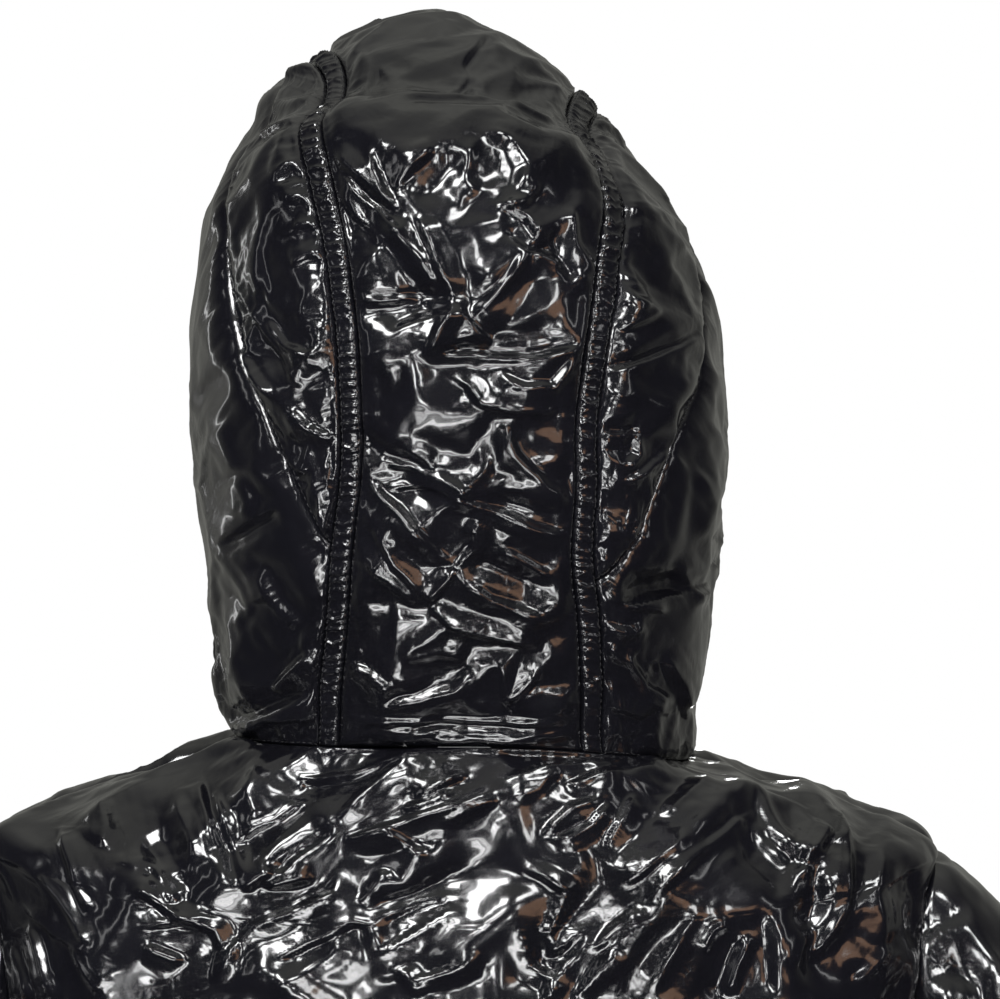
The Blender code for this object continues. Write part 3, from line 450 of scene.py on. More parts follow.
# Folds seen from behind: rise, width, then the (x, z) points from one end to the other.
HOOD_FOLDS = folds(
    # over the crown
    (1.4, 5, 30, 311, 10, 314, -18, 318),
    (1.3, 5, -20, 315, -34, 310, -48, 305),
    (-1.2, 4, 48, 326, 41, 337),
    (-1.3, 3, 4, 322, -8, 332),
    (-1.2, 3, -1, 335, -13, 344),
    (1.2, 6, -29, 337, -43, 332, -52, 319),
    # fan under the crown, on the left of the centre panel
    (1.7, 4, 60, 287, 42, 271, 24, 257),
    (1.5, 4, 58, 278, 38, 259, 21, 239),
    (1.2, 4, 58, 270, 45, 254, 33, 242),
    (-1.4, 5, 40, 289, 33, 270, 26, 256),
    (1.5, 4, 11, 286, 24, 277, 32, 268),
    # rays of the pinch in the middle of the head
    (1.7, 4, 21, 258, 11, 238, 2, 216),
    (1.4, 4, 48, 218, 24, 219, 2, 216),
    (1.7, 4, 2, 216, 10, 204, 14, 192),
    (-1.3, 5, 2, 216, 21, 212, 36, 205),
    (1.3, 4, 2, 216, -7, 204, -15, 196),
    (1.9, 5, -31, 240, -19, 224, -5, 208),
    (1.4, 4, -47, 235, -32, 238),
    (-1.3, 4, -44, 241, -31, 242, -20, 251),
    (1.6, 4, -19, 263, -29, 256, -39, 243),
    (1.5, 4, -16, 261, -28, 263, -36, 271),
    (1.6, 7, -7, 292, -21, 289, -29, 278, -26, 265),
    (1.3, 8, -5, 290, -1, 273, -8, 264),
    (1.4, 5, -48, 261, -53, 243, -63, 229),
    (-1.3, 5, -41, 251, -46, 237, -53, 226),
    # the long level pinch and what hangs from it
    (-2.2, 3, 14, 194, -5, 195, -31, 193, -58, 198),
    (1.4, 5, -16, 184, -30, 177, -44, 177, -55, 194),
    (1.7, 4, 5, 183, -4, 179, -9, 171, -24, 166, -41, 165, -48, 172),
    (1.6, 5, -20, 160, -26, 145, -41, 129, -53, 120),
    # fan below it
    (1.4, 5, 29, 151, 10, 137, -8, 126),
    (1.7, 5, 40, 143, 17, 137, -9, 124),
    (1.3, 4, 35, 129, 14, 130, -8, 124),
    (1.9, 4, 45, 135, 24, 113, 3, 90),
    (1.6, 4, 41, 112, 30, 93, 16, 78),
    (1.4, 5, 44, 96, 32, 83, 20, 73),
    (1.8, 4, 3, 90, 10, 81, 16, 73),
    (1.8, 4, 16, 73, 5, 64, -9, 59, -39, 53),
    (1.6, 4, 2, 86, -14, 76, -40, 66),
    (1.7, 3, 10, 127, -14, 119, -33, 111, -54, 104),
    (1.6, 4, 3, 90, -7, 100, -7, 108, -1, 113),
    (1.4, 4, -18, 101, -31, 93, -44, 85),
    # tucks above the neck seam
    (1.7, 5, 53, 43, 41, 38, 31, 30),
    (1.7, 4, 39, 23, 20, 27, 3, 32, -7, 42),
    (1.7, 4, -18, 48, -22, 26, -31, 33, -39, 44),
    (1.2, 7, -22, 25, -38, 30, -54, 28),
    (1.1, 7, 29, 47, 10, 50, -4, 46),
    (1.6, 3, 57, 17, 20, 16, -19, 15, -59, 15),
    (1.9, 3, 54, 11, 15, 10, -29, 9, -63, 9),
    (1.5, 3, 44, 5, 1, 4, -58, 6),
    # left side panel and cheek
    (1.8, 4, 108, 225, 89, 201, 70, 175),
    (1.7, 4, 105, 196, 95, 184, 83, 171),
    (1.7, 4, 93, 211, 81, 197, 69, 192, 60, 197),
    (1.5, 4, 78, 234, 71, 239, 62, 241),
    (1.3, 4, 77, 252, 70, 254, 63, 251),
    (1.3, 4, 82, 264, 73, 266, 65, 261),
    (1.3, 4, 85, 272, 78, 281, 69, 276),
    (1.4, 4, 99, 297, 86, 301, 75, 303),
    (1.4, 4, 77, 168, 70, 158, 59, 152),
    (1.7, 4, 87, 149, 77, 138, 69, 138),
    (-1.8, 4, 115, 97, 99, 108, 84, 118),
    (1.7, 8, 97, 90, 89, 72, 76, 56),
    (1.9, 5, 91, 25, 80, 38, 68, 50),
    (-2.6, 5, 116, 3, 94, 18, 71, 30),
    (2.0, 5, 113, -2, 90, 13, 64, 17),
    (1.4, 7, 106, 135, 99, 121, 102, 111),
    (1.4, 7, 114, 159, 108, 145, 104, 133),
    (1.6, 8, 114, 69, 107, 44, 111, 23),
    # right side panel and cheek
    (-1.7, 3, -67, 185, -87, 191, -113, 202),
    (1.4, 5, -69, 233, -78, 218, -87, 213),
    (1.4, 5, -73, 204, -83, 208, -93, 214),
    (1.4, 5, -88, 260, -99, 248, -106, 237),
    (-1.6, 3, -67, 157, -84, 157),
    (1.4, 4, -82, 155, -83, 145, -76, 138),
    (1.6, 4, -74, 131, -87, 138, -99, 145),
    (1.6, 3, -69, 74, -82, 71, -99, 67),
    (-2.2, 4, -69, 72, -93, 75, -124, 77),
    (1.6, 3, -66, 62, -80, 58, -87, 62),
    (1.4, 4, -69, 53, -74, 45, -82, 42),
    (1.4, 5, -77, 47, -88, 29, -103, 19),
    (1.8, 6, -96, 46, -105, 29, -110, 11),
    (1.3, 4, -71, 22, -79, 19, -88, 13),
    (1.6, 8, -111, 135, -117, 119, -113, 99),
    (1.4, 8, -118, 159, -125, 140, -123, 118),
    (1.4, 7, -102, 91, -110, 79, -114, 64),
)
BACK_FOLDS = folds(
    # from the neck seam down the left shoulder
    (1.6, 4, 111, -46, 90, -34, 74, -24),
    (1.8, 4, 82, -24, 79, -16, 53, -13, 19, -2),
    (2.0, 6, 60, -36, 49, -25, 36, -14, 19, -3),
    (1.9, 5, 60, -47, 38, -40, 10, -31, -18, -21),
    (1.8, 6, 38, -40, 27, -46, 17, -54),
    (-1.9, 5, 91, -62, 77, -49, 62, -38),
    (-2.0, 6, 129, -17, 117, -43, 106, -70),
    (1.8, 8, 123, -21, 112, -45, 103, -66),
    (1.8, 4, 106, -70, 90, -58),
    (1.7, 4, 96, -67, 83, -65, 71, -62),
    (1.4, 10, 179, -34, 173, -46, 176, -55),
    (1.3, 12, 98, -14, 103, -26, 97, -38),
    # rays of the pinch on the left shoulder blade
    (2.0, 4, 121, -116, 111, -98, 101, -86, 83, -79, 62, -69, 56, -57),
    (1.8, 5, 94, -102, 70, -92, 52, -82, 44, -84, 42, -101),
    (1.7, 5, 42, -101, 20, -87, -3, -72),
    (1.6, 12, 94, -117, 78, -109, 63, -99, 53, -87),
    (1.9, 4, 156, -88, 134, -84, 119, -87, 115, -98, 121, -115),
    (2.0, 5, 161, -71, 151, -72, 135, -83, 122, -81),
    (1.8, 5, 152, -96, 137, -103, 134, -106),
    (1.9, 5, 199, -46, 188, -68, 176, -85),
    (1.9, 5, 208, -63, 191, -80, 174, -100),
    (1.8, 4, 218, -82, 196, -94, 174, -101),
    (2.0, 6, 215, -89, 204, -106, 195, -127),
    (1.9, 5, 225, -103, 215, -116, 208, -129),
    (1.9, 5, 188, -97, 179, -111, 168, -120),
    (-1.7, 10, 158, -46, 147, -57, 153, -68),
    (1.7, 12, 143, -27, 130, -50, 132, -70),
    (1.7, 6, 152, -57, 142, -68, 137, -77),
    # middle of the back
    (1.7, 4, 49, -74, 35, -57),
    (1.7, 4, 30, -105, 20, -120),
    (1.7, 4, 23, -112, 6, -107, -10, -97),
    (1.6, 4, 3, -113, -4, -104, -10, -96),
    (-1.7, 6, 39, -75, 20, -68, -4, -54),
    (1.4, 4, 43, -85, 24, -75, 4, -69),
    (1.4, 5, 10, -39, -4, -31, -19, -25),
    (1.7, 4, -4, -12, 10, -18, 22, -26),
    (1.4, 4, 3, -21, 15, -27, 28, -31),
    (1.3, 7, -48, -11, -38, -20, -25, -25),
    # from the neck seam down the right shoulder
    (1.8, 4, -19, -17, -43, -10, -78, -10),
    (1.6, 4, -50, -20, -63, -17, -78, -15),
    (1.7, 4, -39, -44, -44, -37, -52, -31, -68, -25),
    (1.8, 4, -44, -46, -63, -39, -72, -28),
    (1.8, 4, -69, -50, -76, -38, -86, -24),
    (2.0, 4, -25, -55, -40, -62, -50, -68, -42, -88, -45, -98, -58, -88, -68, -78),
    (1.8, 4, -29, -82, -35, -105, -45, -111, -69, -81),
    (1.6, 4, -45, -111, -41, -120),
    (1.7, 4, -55, -120, -68, -104, -77, -95),
    (1.6, 5, -63, -97, -73, -87, -87, -76),
    (1.6, 6, -77, -68, -92, -56, -112, -44),
    (1.7, 7, -87, -76, -112, -55, -148, -32),
    (1.6, 8, -95, -35, -112, -26, -127, -19),
    (-1.6, 7, -112, -50, -132, -37, -149, -33),
    # long folds down to the right shoulder blade and armhole
    (1.9, 13, -90, -121, -101, -100, -115, -76, -117, -69),
    (1.8, 5, -116, -100, -122, -88, -130, -84),
    (2.0, 8, -129, -122, -134, -106, -140, -88),
    (-2.0, 6, -124, -122, -129, -104, -134, -89),
    (-1.8, 8, -149, -123, -147, -99, -144, -77),
    (2.0, 8, -130, -13, -148, -36, -166, -58),
    (2.3, 7, -166, -59, -173, -55, -180, -47),
    (-1.9, 8, -140, -29, -156, -51, -169, -64),
    (2.2, 7, -180, -47, -187, -44, -190, -59, -188, -79, -175, -99, -161, -108),
    (-2.0, 8, -173, -60, -175, -77, -166, -95),
    (1.8, 7, -160, -109, -166, -95, -171, -85),
    (1.6, 12, -208, -55, -203, -79, -206, -104),
    (1.7, 8, -192, -120, -200, -111, -208, -99),
    (-1.6, 8, -222, -62, -226, -83, -222, -107),
)


# ---- forms
@dataclass(frozen=True)
class TorsoForm:
    """The body as closed loops from the hem up to the neck seam."""

    loops: Table = TORSO

    def point(self, angle: Array, along: Array) -> Array:
        """Points of the body.

        Args:
            angle: Turn round the body, 0 in the middle of the back, rising to the left.
            along: Distance up the back from the hem.

        Returns:
            One point for each pair.
        """
        at = self.loops.at(along)
        power = 2 / at["roundness"]
        sine, cosine = np.sin(angle), np.cos(angle)
        x = at["half_width"] * np.sign(sine) * np.abs(sine) ** power
        reach = np.where(cosine > 0, at["back_y"], -at["front_y"])
        y = reach * np.sign(cosine) * np.abs(cosine) ** power
        side = np.where(sine > 0, at["left_z"], at["right_z"])
        end = np.where(cosine > 0, at["back_z"], at["front_z"])
        return np.stack([x, y, side + (end - side) * cosine * cosine], axis=-1)

    def away(self, angle: Array, along: Array) -> Array:
        """Directions straight out of the body at each pair of angle and distance.

        Args:
            angle: Turn round the body, as for point.
            along: Distance up the back from the hem.

        Returns:
            Directions of length 1.
        """
        turn, climb = 0.02, 0.004
        around = self.point(angle + turn, along) - self.point(angle - turn, along)
        below, above = np.maximum(along - climb, 0), np.minimum(along + climb, BODY_LENGTH)
        return unit(np.cross(self.point(angle, above) - self.point(angle, below), around))

    def armhole_angle(self, side: Side, along: Array) -> Array:
        """How far round from the back, or from the front, the armhole's edge lies."""
        share = np.clip((along - ARMPIT) / (TIP - ARMPIT), 0, 1)
        return math.pi / 2 - side.pick(ARMHOLE_HALF_ANGLES) * np.sqrt(np.sin(math.pi * share))

    def front_edge_angle(self, along: Array) -> Array:
        """How far round from the front a front panel's edge beside the zip lies."""
        at = self.loops.at(along)
        return np.arcsin((ZIP_HALF_WIDTH / at["half_width"]) ** (at["roundness"] / 2))

    def centre_front(self, along: Array, sideways: float, outwards: float) -> Array:
        """Points beside the centre front, this far sideways and this far out of the cloth.

        Args:
            along: Distances up the back from the hem.
            sideways: The points' place across the zip.
            outwards: How far they stand out.

        Returns:
            One point for each distance.
        """
        turn = np.full_like(along, math.pi)
        base = self.point(turn, along) + self.away(turn, along) * outwards
        base[..., 0] = sideways
        return base


@dataclass
class HoodForm:
    """The filled hood, star-shaped as seen from its eye."""

    sections: Table = HOOD
    eye: Triple = (0.0, -0.010, 0.160)
    roundness: float = 2.3
    steps: int = 4000
    table: Array = field(init=False)
    low: float = field(init=False)
    high: float = field(init=False)

    def __post_init__(self) -> None:
        """Reads the sections' curves once, at even heights."""
        self.low, self.high = self.sections["height"][[0, -1]]
        curves = self.sections.at(np.linspace(self.low, self.high, self.steps + 1))
        self.table = np.stack(list(curves.values()), axis=-1)

    def reach(self, points: Array) -> Array:
        """How far out each point lies, as a share of the hood's level section there.

        Args:
            points: Points in metres.

        Returns:
            Shares: 1 is on the hood's surface, and less is inside.
        """
        at = np.clip((points[..., 2] - self.low) / (self.high - self.low), 0, 0.999999) * self.steps
        i = at.astype(int)
        share = (at - i)[..., None]
        left, right, back, middle, front = np.moveaxis(
            self.table[i] * (1 - share) + self.table[i + 1] * share, -1, 0
        )
        across = (points[..., 0] - (left + right) / 2) / (left - right)
        deep = points[..., 1] - middle
        deep = np.where(deep > 0, deep / (back - middle), deep / (front - middle))
        power = self.roundness
        return (np.abs(2 * across) ** power + np.abs(deep) ** power) ** (1 / power)

    def away(self, points: Array) -> Array:
        """Directions straight out of the hood's surface.

        Args:
            points: Points on the surface.

        Returns:
            Directions of length 1.
        """
        step = 0.002
        slope = [
            self.reach(points + step * axis) - self.reach(points - step * axis) for axis in np.eye(3)
        ]
        return unit(np.stack(slope, axis=-1))

    def point(self, directions: Array) -> Array:
        """Where each direction from the eye meets the hood, found by halving.

        Args:
            directions: Directions of length 1.

        Returns:
            One point on the hood for each direction.
        """
        eye = np.array(self.eye)
        near, far = np.full(directions.shape[:-1], 0.02), np.full(directions.shape[:-1], 0.60)
        for _ in range(24):
            middle = (near + far) / 2
            points = eye + middle[..., None] * directions
            inside = (self.reach(points) < 1) & (points[..., 2] < self.high)
            near, far = np.where(inside, middle, near), np.where(inside, far, middle)
        return eye + near[..., None] * directions

    def direction_to(self, points: Array) -> Array:
        """Directions from the eye to some points."""
        return unit(np.asarray(points, float) - np.array(self.eye))


# ---- relief
@dataclass(frozen=True)
class Crumple:
    """Facets of crumpled film: cells of tilted bowls or domes that meet in creases."""

    size: float
    rise: float
    salt: int
    turn: float = 0.0
    stretch: float = 2.0
    bowls: bool = True
    sharp: float = 10.0

    def height(self, u: Array, v: Array) -> Array:
        """How far the film stands out, at places on the cloth.

        Args:
            u: Distance across the cloth.
            v: Distance along it.

        Returns:
            Heights in metres, about even round 0.
        """
        warp = 0.22 * self.size
        u, v = (
            u + warp * soft_noise(u, v, 1.7 * self.size, self.salt + 1),
            v + warp * soft_noise(u, v, 1.7 * self.size, self.salt + 2),
        )
        cosine, sine = math.cos(self.turn), math.sin(self.turn)
        a = (cosine * u + sine * v) / (self.size * self.stretch)
        b = (cosine * v - sine * u) / self.size
        near_a, near_b = np.floor(a), np.floor(b)
        total = np.zeros_like(a)
        for step_a in (-1, 0, 1):
            for step_b in (-1, 0, 1):
                i, j = near_a + step_a, near_b + step_b
                x = a - i - 0.1 - 0.8 * drawn(i, j, self.salt + 3)
                y = b - j - 0.1 - 0.8 * drawn(i, j, self.salt + 4)
                tilt = (drawn(i, j, self.salt + 5) - 0.5) * x
                tilt += (drawn(i, j, self.salt + 6) - 0.5) * y
                plane = 1.1 * tilt + 0.3 * drawn(i, j, self.salt + 7) - 0.6 * (x * x + y * y)
                total += np.exp(self.sharp * plane)
        height = np.log(total) / self.sharp
        height -= height.mean()
        return self.rise * (-height if self.bowls else height)


@dataclass(frozen=True)
class Pucker:
    """Short wrinkles that stand across a seam and die away from it."""

    pitch: float
    rise: float
    reach: float
    salt: int
    held: float = 0.0015  # the stitching holds the cloth down over this distance

    def height(self, along: Array, off: Array) -> Array:
        """How far the wrinkles stand out.

        Args:
            along: Distance along the seam.
            off: Distance from it.

        Returns:
            Heights in metres.
        """
        total = np.zeros_like(off)
        near = off < 3.2 * self.reach
        along, off = along[near], off[near]
        inside = np.zeros_like(off)
        cell = np.floor(along / self.pitch)
        for step in (-1, 0, 1):
            k = cell + step
            zero = np.zeros_like(k)
            centre = (k + 0.15 + 0.7 * drawn(k, zero, self.salt)) * self.pitch
            lean = 1.2 * (drawn(k, zero, self.salt + 1) - 0.5)
            reach = self.reach * (0.35 + 1.1 * drawn(k, zero, self.salt + 2) ** 1.5)
            rise = self.rise * (0.25 + 0.75 * drawn(k, zero, self.salt + 3))
            width = self.pitch * (0.24 + 0.18 * drawn(k, zero, self.salt + 4))
            aside = np.sqrt(((along - centre - lean * off) / width) ** 2 + 0.05)
            inside += rise * np.exp(-1.6 * aside) * np.exp(-((off / reach) ** 1.5))
        total[near] = inside * ease(off / self.held)
        return total


def fold_height(a: Array, b: Array, laid: tuple[Fold, ...], salt: int = 0) -> Array:
    """How far sharp folds push the film out.

    Args:
        a: First flat coordinate of each point, in metres.
        b: Second flat coordinate.
        laid: The folds, in the same two coordinates.
        salt: Sets which side of each fold is the steeper one.

    Returns:
        Heights in metres, the shape of a.
    """
    shape = a.shape
    a, b = a.ravel() / MM, b.ravel() / MM
    a = a + 0.6 * soft_noise(a, b, 9.0, 61) + 0.1 * soft_noise(a, b, 3.5, 62)
    b = b + 0.6 * soft_noise(a, b, 9.0, 63) + 0.1 * soft_noise(a, b, 3.5, 64)
    total = np.zeros_like(a)
    for number, row in enumerate(laid):
        points, reach = row.points, 5 * row.width
        low, high = points.min(0) - reach, points.max(0) + reach
        near = np.flatnonzero((a > low[0]) & (a < high[0]) & (b > low[1]) & (b < high[1]))
        if not len(near):
            continue
        lengths = np.linalg.norm(np.diff(points, axis=0), axis=1)
        best = np.full(len(near), np.inf)
        place, side = np.zeros(len(near)), np.zeros(len(near))
        for k, (start, end) in enumerate(zip(points, points[1:])):
            run = end - start
            from_a, from_b = a[near] - start[0], b[near] - start[1]
            share = np.clip((from_a * run[0] + from_b * run[1]) / (run @ run), 0, 1)
            away = np.hypot(from_a - share * run[0], from_b - share * run[1])
            closer = away < best
            best = np.where(closer, away, best)
            place = np.where(closer, lengths[:k].sum() + share * lengths[k], place)
            side = np.where(closer, np.sign(run[0] * from_b - run[1] * from_a), side)
        place /= lengths.sum()
        uneven = 0.55 if drawn(np.array([number]), np.array([salt]), 71)[0] > 0.5 else -0.55
        width = row.width * (1 + uneven * side) * (0.75 + 0.5 * place)
        crest = 0.4
        foot = np.clip(1 - (np.sqrt(best * best + crest * crest) - crest) / (1.5 * width), 0, 1)
        body = 1.5 * foot**1.2
        beside = 0.35 * np.exp(-((best / (2.4 * row.width)) ** 2))
        turns = 2 * math.pi * best / (3.6 + 0.35 * row.width)
        turns += 1.2 * soft_noise(a[near], b[near], 11.0, 65)
        beside += 0.05 * (1 - np.cos(turns)) * np.exp(-((best / (2.1 * row.width)) ** 2))
        fade = ease(place / 0.22) * ease((1 - place) / 0.22)
        total[near] += FOLD_RISE * row.rise * fade * (body - beside)
    return (total * MM).reshape(shape)


def softened(heights: Array) -> Array:
    """Heights on a grid, each half its own and half the mean of its four neighbours.

    Args:
        heights: The grid of heights.

    Returns:
        The softened grid.
    """
    wide = np.pad(heights, 1, mode="edge")
    beside = wide[:-2, 1:-1] + wide[2:, 1:-1] + wide[1:-1, :-2] + wide[1:-1, 2:]
    return heights / 2 + beside / 8


def strewn(low: Pair, high: Pair, count: int, lean: float, seed: int) -> tuple[Fold, ...]:
    """Folds like the listed ones, for a part of the cloth.

    Args:
        low: Lowest corner of the area, in millimetres.
        high: Highest corner.
        count: How many folds.
        lean: Their main direction, in radians from the first axis.
        seed: Sets where they lie.

    Returns:
        The folds, in the area's own two coordinates.
    """
    random, rows = np.random.default_rng(seed), []
    for _ in range(count):
        start = random.uniform(low, high)
        turn = lean + random.normal(0, 0.45) + (math.pi if random.random() < 0.5 else 0)
        length, turned = random.uniform(16, 34), turn + random.normal(0, 0.35)
        middle = start + length * np.array([math.cos(turn), math.sin(turn)])
        way = np.array([math.cos(turned), math.sin(turned)])
        end = middle + length * random.uniform(0.5, 1.1) * way
        rise = random.uniform(1.2, 2.1) * (1 if random.random() < 0.75 else -1)
        rows.append((rise, random.uniform(4, 8), *start, *middle, *end))
    return folds(*rows)


def from_stretch(points: Array, start: Array, end: Array) -> tuple[Array, Array]:
    """How far along a straight stretch each point lies, seen from behind, and how far off it.

    Args:
        points: Points on the cloth.
        start: The stretch's start, as (x, z).
        end: Its end.

    Returns:
        Shares of the stretch from 0 to 1, and distances in metres.
    """
    flat, run = points[..., [0, 2]], end - start
    share = np.clip((flat - start) @ run / (run @ run), 0, 1)
    return share, np.linalg.norm(flat - start - share[..., None] * run, axis=-1)


def crease_depth(points: Array) -> Array:
    """How far the wadding's soft creases push each point inwards.

    Args:
        points: Points on the cloth.

    Returns:
        Depths in metres; below 0, the cloth stands out.
    """
    total = np.zeros(points.shape[:-1])
    for side, creases in ((1, BACK_CREASES), (-1, FRONT_CREASES)):
        facing = ease(side * points[..., 1] / 0.03)
        for row in creases.rows:
            share, away = from_stretch(points, row[:2], row[2:4])
            depth, width = row[4:]
            fade = ease(share / 0.3) * ease((1 - share) / 0.3)
            total += depth * fade * facing * np.exp(-((away / width) ** 2))
    return total


def bend_depth(points: Array, bends: Table, width: float) -> Array:
    """How far one long bend pushes the whole wall inwards, from its nearest stretch.

    Args:
        points: Points on the cloth.
        bends: Places and depths along the bend.
        width: How wide the bend is.

    Returns:
        Depths in metres.
    """
    nearest, depth = np.full(points.shape[:-1], np.inf), np.zeros(points.shape[:-1])
    for first, last in zip(bends.rows, bends.rows[1:]):
        share, away = from_stretch(points, first[:2], last[:2])
        closer = away < nearest
        nearest = np.where(closer, away, nearest)
        depth = np.where(closer, first[2] + (last[2] - first[2]) * share, depth)
    return depth * np.exp(-((nearest / width) ** 2)) * ease(points[..., 1] / 0.04)


# ---- cloth
@dataclass
class Patch:
    """A grid of points on a form, the directions out of it, and places on the cut cloth."""

    base: Array
    away: Array
    around: bool = False
    origin: Array | float = 0.5  # where u is 0, as a share of each row's columns
    across: Array = field(init=False)
    u: Array = field(init=False)
    v: Array = field(init=False)
    width: Array = field(init=False)

    def __post_init__(self) -> None:
        """Measures the cloth across and along."""
        self.across = run_along(self.base, 1)
        self.width = self.across[:, -1:]
        if self.around:
            self.width = self.width + np.linalg.norm(self.base[:, :1] - self.base[:, -1:], axis=-1)
        rows, last = np.arange(len(self.base)), self.base.shape[1] - 1
        at = np.broadcast_to(np.asarray(self.origin, float), rows.shape) * last
        low = np.minimum(at.astype(int), last - 1)
        start = self.across[rows, low] * (low + 1 - at) + self.across[rows, low + 1] * (at - low)
        self.u = self.across - start[:, None]
        self.v = run_along(self.base, 0)

    @property
    def from_side(self) -> Array:
        """Distance from the nearer side seam.

        Returns:
            Metres, one for each point.
        """
        if self.around:
            return np.ones_like(self.u)
        return np.minimum(self.across, self.width - self.across)

    @property
    def from_end(self) -> Array:
        """Distance from the cloth's far end."""
        return self.v[-1:] - self.v


@dataclass(frozen=True)
class Cut:
    """The flat size that a piece of cloth was cut to, and its area."""

    width: float
    length: float
    area: float


@dataclass
class Cloth:
    """A padded piece: its patch, its loft and everything that the film does on it."""

    name: str
    node: str
    patch: Patch
    puff: Array
    cut: Cut
    back_folds: tuple[Fold, ...] = ()
    strewn_folds: tuple[Fold, ...] = ()
    side_pucker: Pucker | None = None
    end_pucker: Pucker | None = None
    crumples: tuple[Crumple, ...] = ()
    calm: float = 0.25
    trial_spacing: float = 0.0034
    rests_on: tuple[str, ...] = ("back",)
    filled: Array = field(init=False)
    outer: Array = field(init=False)
    inner: Array = field(init=False)

    def __post_init__(self) -> None:
        """Works out the filled shape, which the film then settles on."""
        relief = self.broad_relief() * ease(self.edge / SEAM_HOLD)
        self.filled = self.puff - crease_depth(self.patch.base) + relief

    @property
    def edge(self) -> Array:
        """Distance from the nearest seam or end."""
        return np.minimum(self.patch.from_side, np.minimum(self.patch.v, self.patch.from_end))

    def broad_relief(self) -> Array:
        """The folds and the larger crumples.

        Returns:
            Heights in metres.
        """
        patch = self.patch
        rise = np.zeros_like(patch.u)
        if self.back_folds:
            shown = ease((patch.away[..., 1] - 0.05) / 0.25)
            rise += shown * fold_height(patch.base[..., 0], patch.base[..., 2], self.back_folds)
        if self.strewn_folds:
            rise += fold_height(patch.u, patch.v, self.strewn_folds, salt=5)
        for crumple in self.crumples[:-1]:
            rise += crumple.height(patch.u, patch.v)
        return rise

    def fine_relief(self) -> Array:
        """The smallest crumples, in patches, and the puckers along the seams.

        Returns:
            Heights in metres.
        """
        patch = self.patch
        rise = np.zeros_like(patch.u)
        if self.crumples:
            salt = len(self.name) * 7 + ord(self.name[-1])
            rough = 0.45 + 0.9 * soft_noise(patch.u, patch.v, 0.040, salt)
            rough = ease(rough + 0.4 * (self.edge < 0.02))
            rise += (self.calm + (1 - self.calm) * rough) * self.crumples[-1].height(patch.u, patch.v)
        if self.side_pucker and not patch.around:
            rise += self.side_pucker.height(patch.v, patch.from_side)
        if self.end_pucker:
            for off in (patch.v, patch.from_end):
                rise += self.end_pucker.height(patch.u, off)
        return rise * ease(self.edge / 0.0015)

    def build(self) -> Object:
        """Makes the piece as one closed wall and puts it in place of its solid.

        Returns:
            The piece's object.
        """
        patch = self.patch
        trough, roll = CROWN_BEND_WIDTHS
        deep = bend_depth(patch.base, CROWN_TROUGH, trough) + bend_depth(patch.base, CROWN_ROLL, roll)
        film = np.maximum(self.filled + self.fine_relief(), THINNEST - WALL)
        self.outer = patch.base + patch.away * (film - deep)[..., None]
        lining = sum(
            rise * soft_noise(patch.u, patch.v, size, salt) for rise, size, salt in LINING_SWELLS
        )
        lining = (lining + LINING_SWELLS[0][0]) * ease(self.edge / 0.012)
        self.inner = patch.base - patch.away * (WALL + deep + lining)[..., None]
        obj = padded_wall(self.name, self)
        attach(obj, "jacket")
        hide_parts(self.node)
        LOG.info("%s: %d faces", self.name, len(obj.data.polygons))
        return obj

    def line_off_side(self, distance: float, first: bool) -> tuple[Array, Array]:
        """A line on the film beside its first or last side seam.

        Args:
            distance: How far from the seam.
            first: Whether it is the first seam.

        Returns:
            The line's points, and the directions out of the film there.
        """
        across, rows = self.patch.across, np.arange(len(self.patch.across))
        places = np.full(len(rows), distance) if first else self.patch.width[:, 0] - distance
        low = [np.searchsorted(run, place) - 1 for run, place in zip(across, places)]
        low = np.clip(low, 0, across.shape[1] - 2)
        share = ((places - across[rows, low]) / (across[rows, low + 1] - across[rows, low]))[:, None]
        line = self.outer[rows, low] * (1 - share) + self.outer[rows, low + 1] * share
        return line, self.patch.away[rows, low]


def grid_quads(index: Array, around: bool) -> Array:
    """Quads between the neighbours of a grid of point numbers.

    Args:
        index: The grid of point numbers.
        around: Whether its last column joins its first.

    Returns:
        Four point numbers for each quad.
    """
    right = np.roll(index, -1, axis=1)
    a, b, c, d = index[:-1], right[:-1], right[1:], index[1:]
    quads = np.stack([a, b, c, d], axis=-1)
    return (quads if around else quads[:, :-1]).reshape(-1, 4)


def crossed_triangles(index: Array, around: bool) -> Array:
    """Triangles between the neighbours of a grid, cut by turns along one diagonal and the other.

    Args:
        index: The grid of point numbers.
        around: Whether its last column joins its first.

    Returns:
        Three point numbers for each triangle.
    """
    quads = grid_quads(index, around)
    columns = index.shape[1] - (not around)
    turned = (np.arange(len(quads)) // columns + np.arange(len(quads)) % columns) % 2 == 1
    first = np.where(turned[:, None], quads[:, [0, 1, 2]], quads[:, [0, 1, 3]])
    second = np.where(turned[:, None], quads[:, [0, 2, 3]], quads[:, [1, 2, 3]])
    return np.concatenate([first, second])


def tube_faces(rings: int, sides: int) -> list[Face]:
    """Faces of a closed tube of rings, each with this many points.

    Args:
        rings: How many rings.
        sides: How many points each ring has.

    Returns:
        The two end faces, then the quads between the rings.
    """
    faces = [tuple(range(sides)), tuple(range((rings - 1) * sides, rings * sides))]
    for ring in range(0, (rings - 1) * sides, sides):
        for k in range(sides):
            after = ring + (k + 1) % sides
            faces.append((ring + k, after, after + sides, ring + k + sides))
    return faces


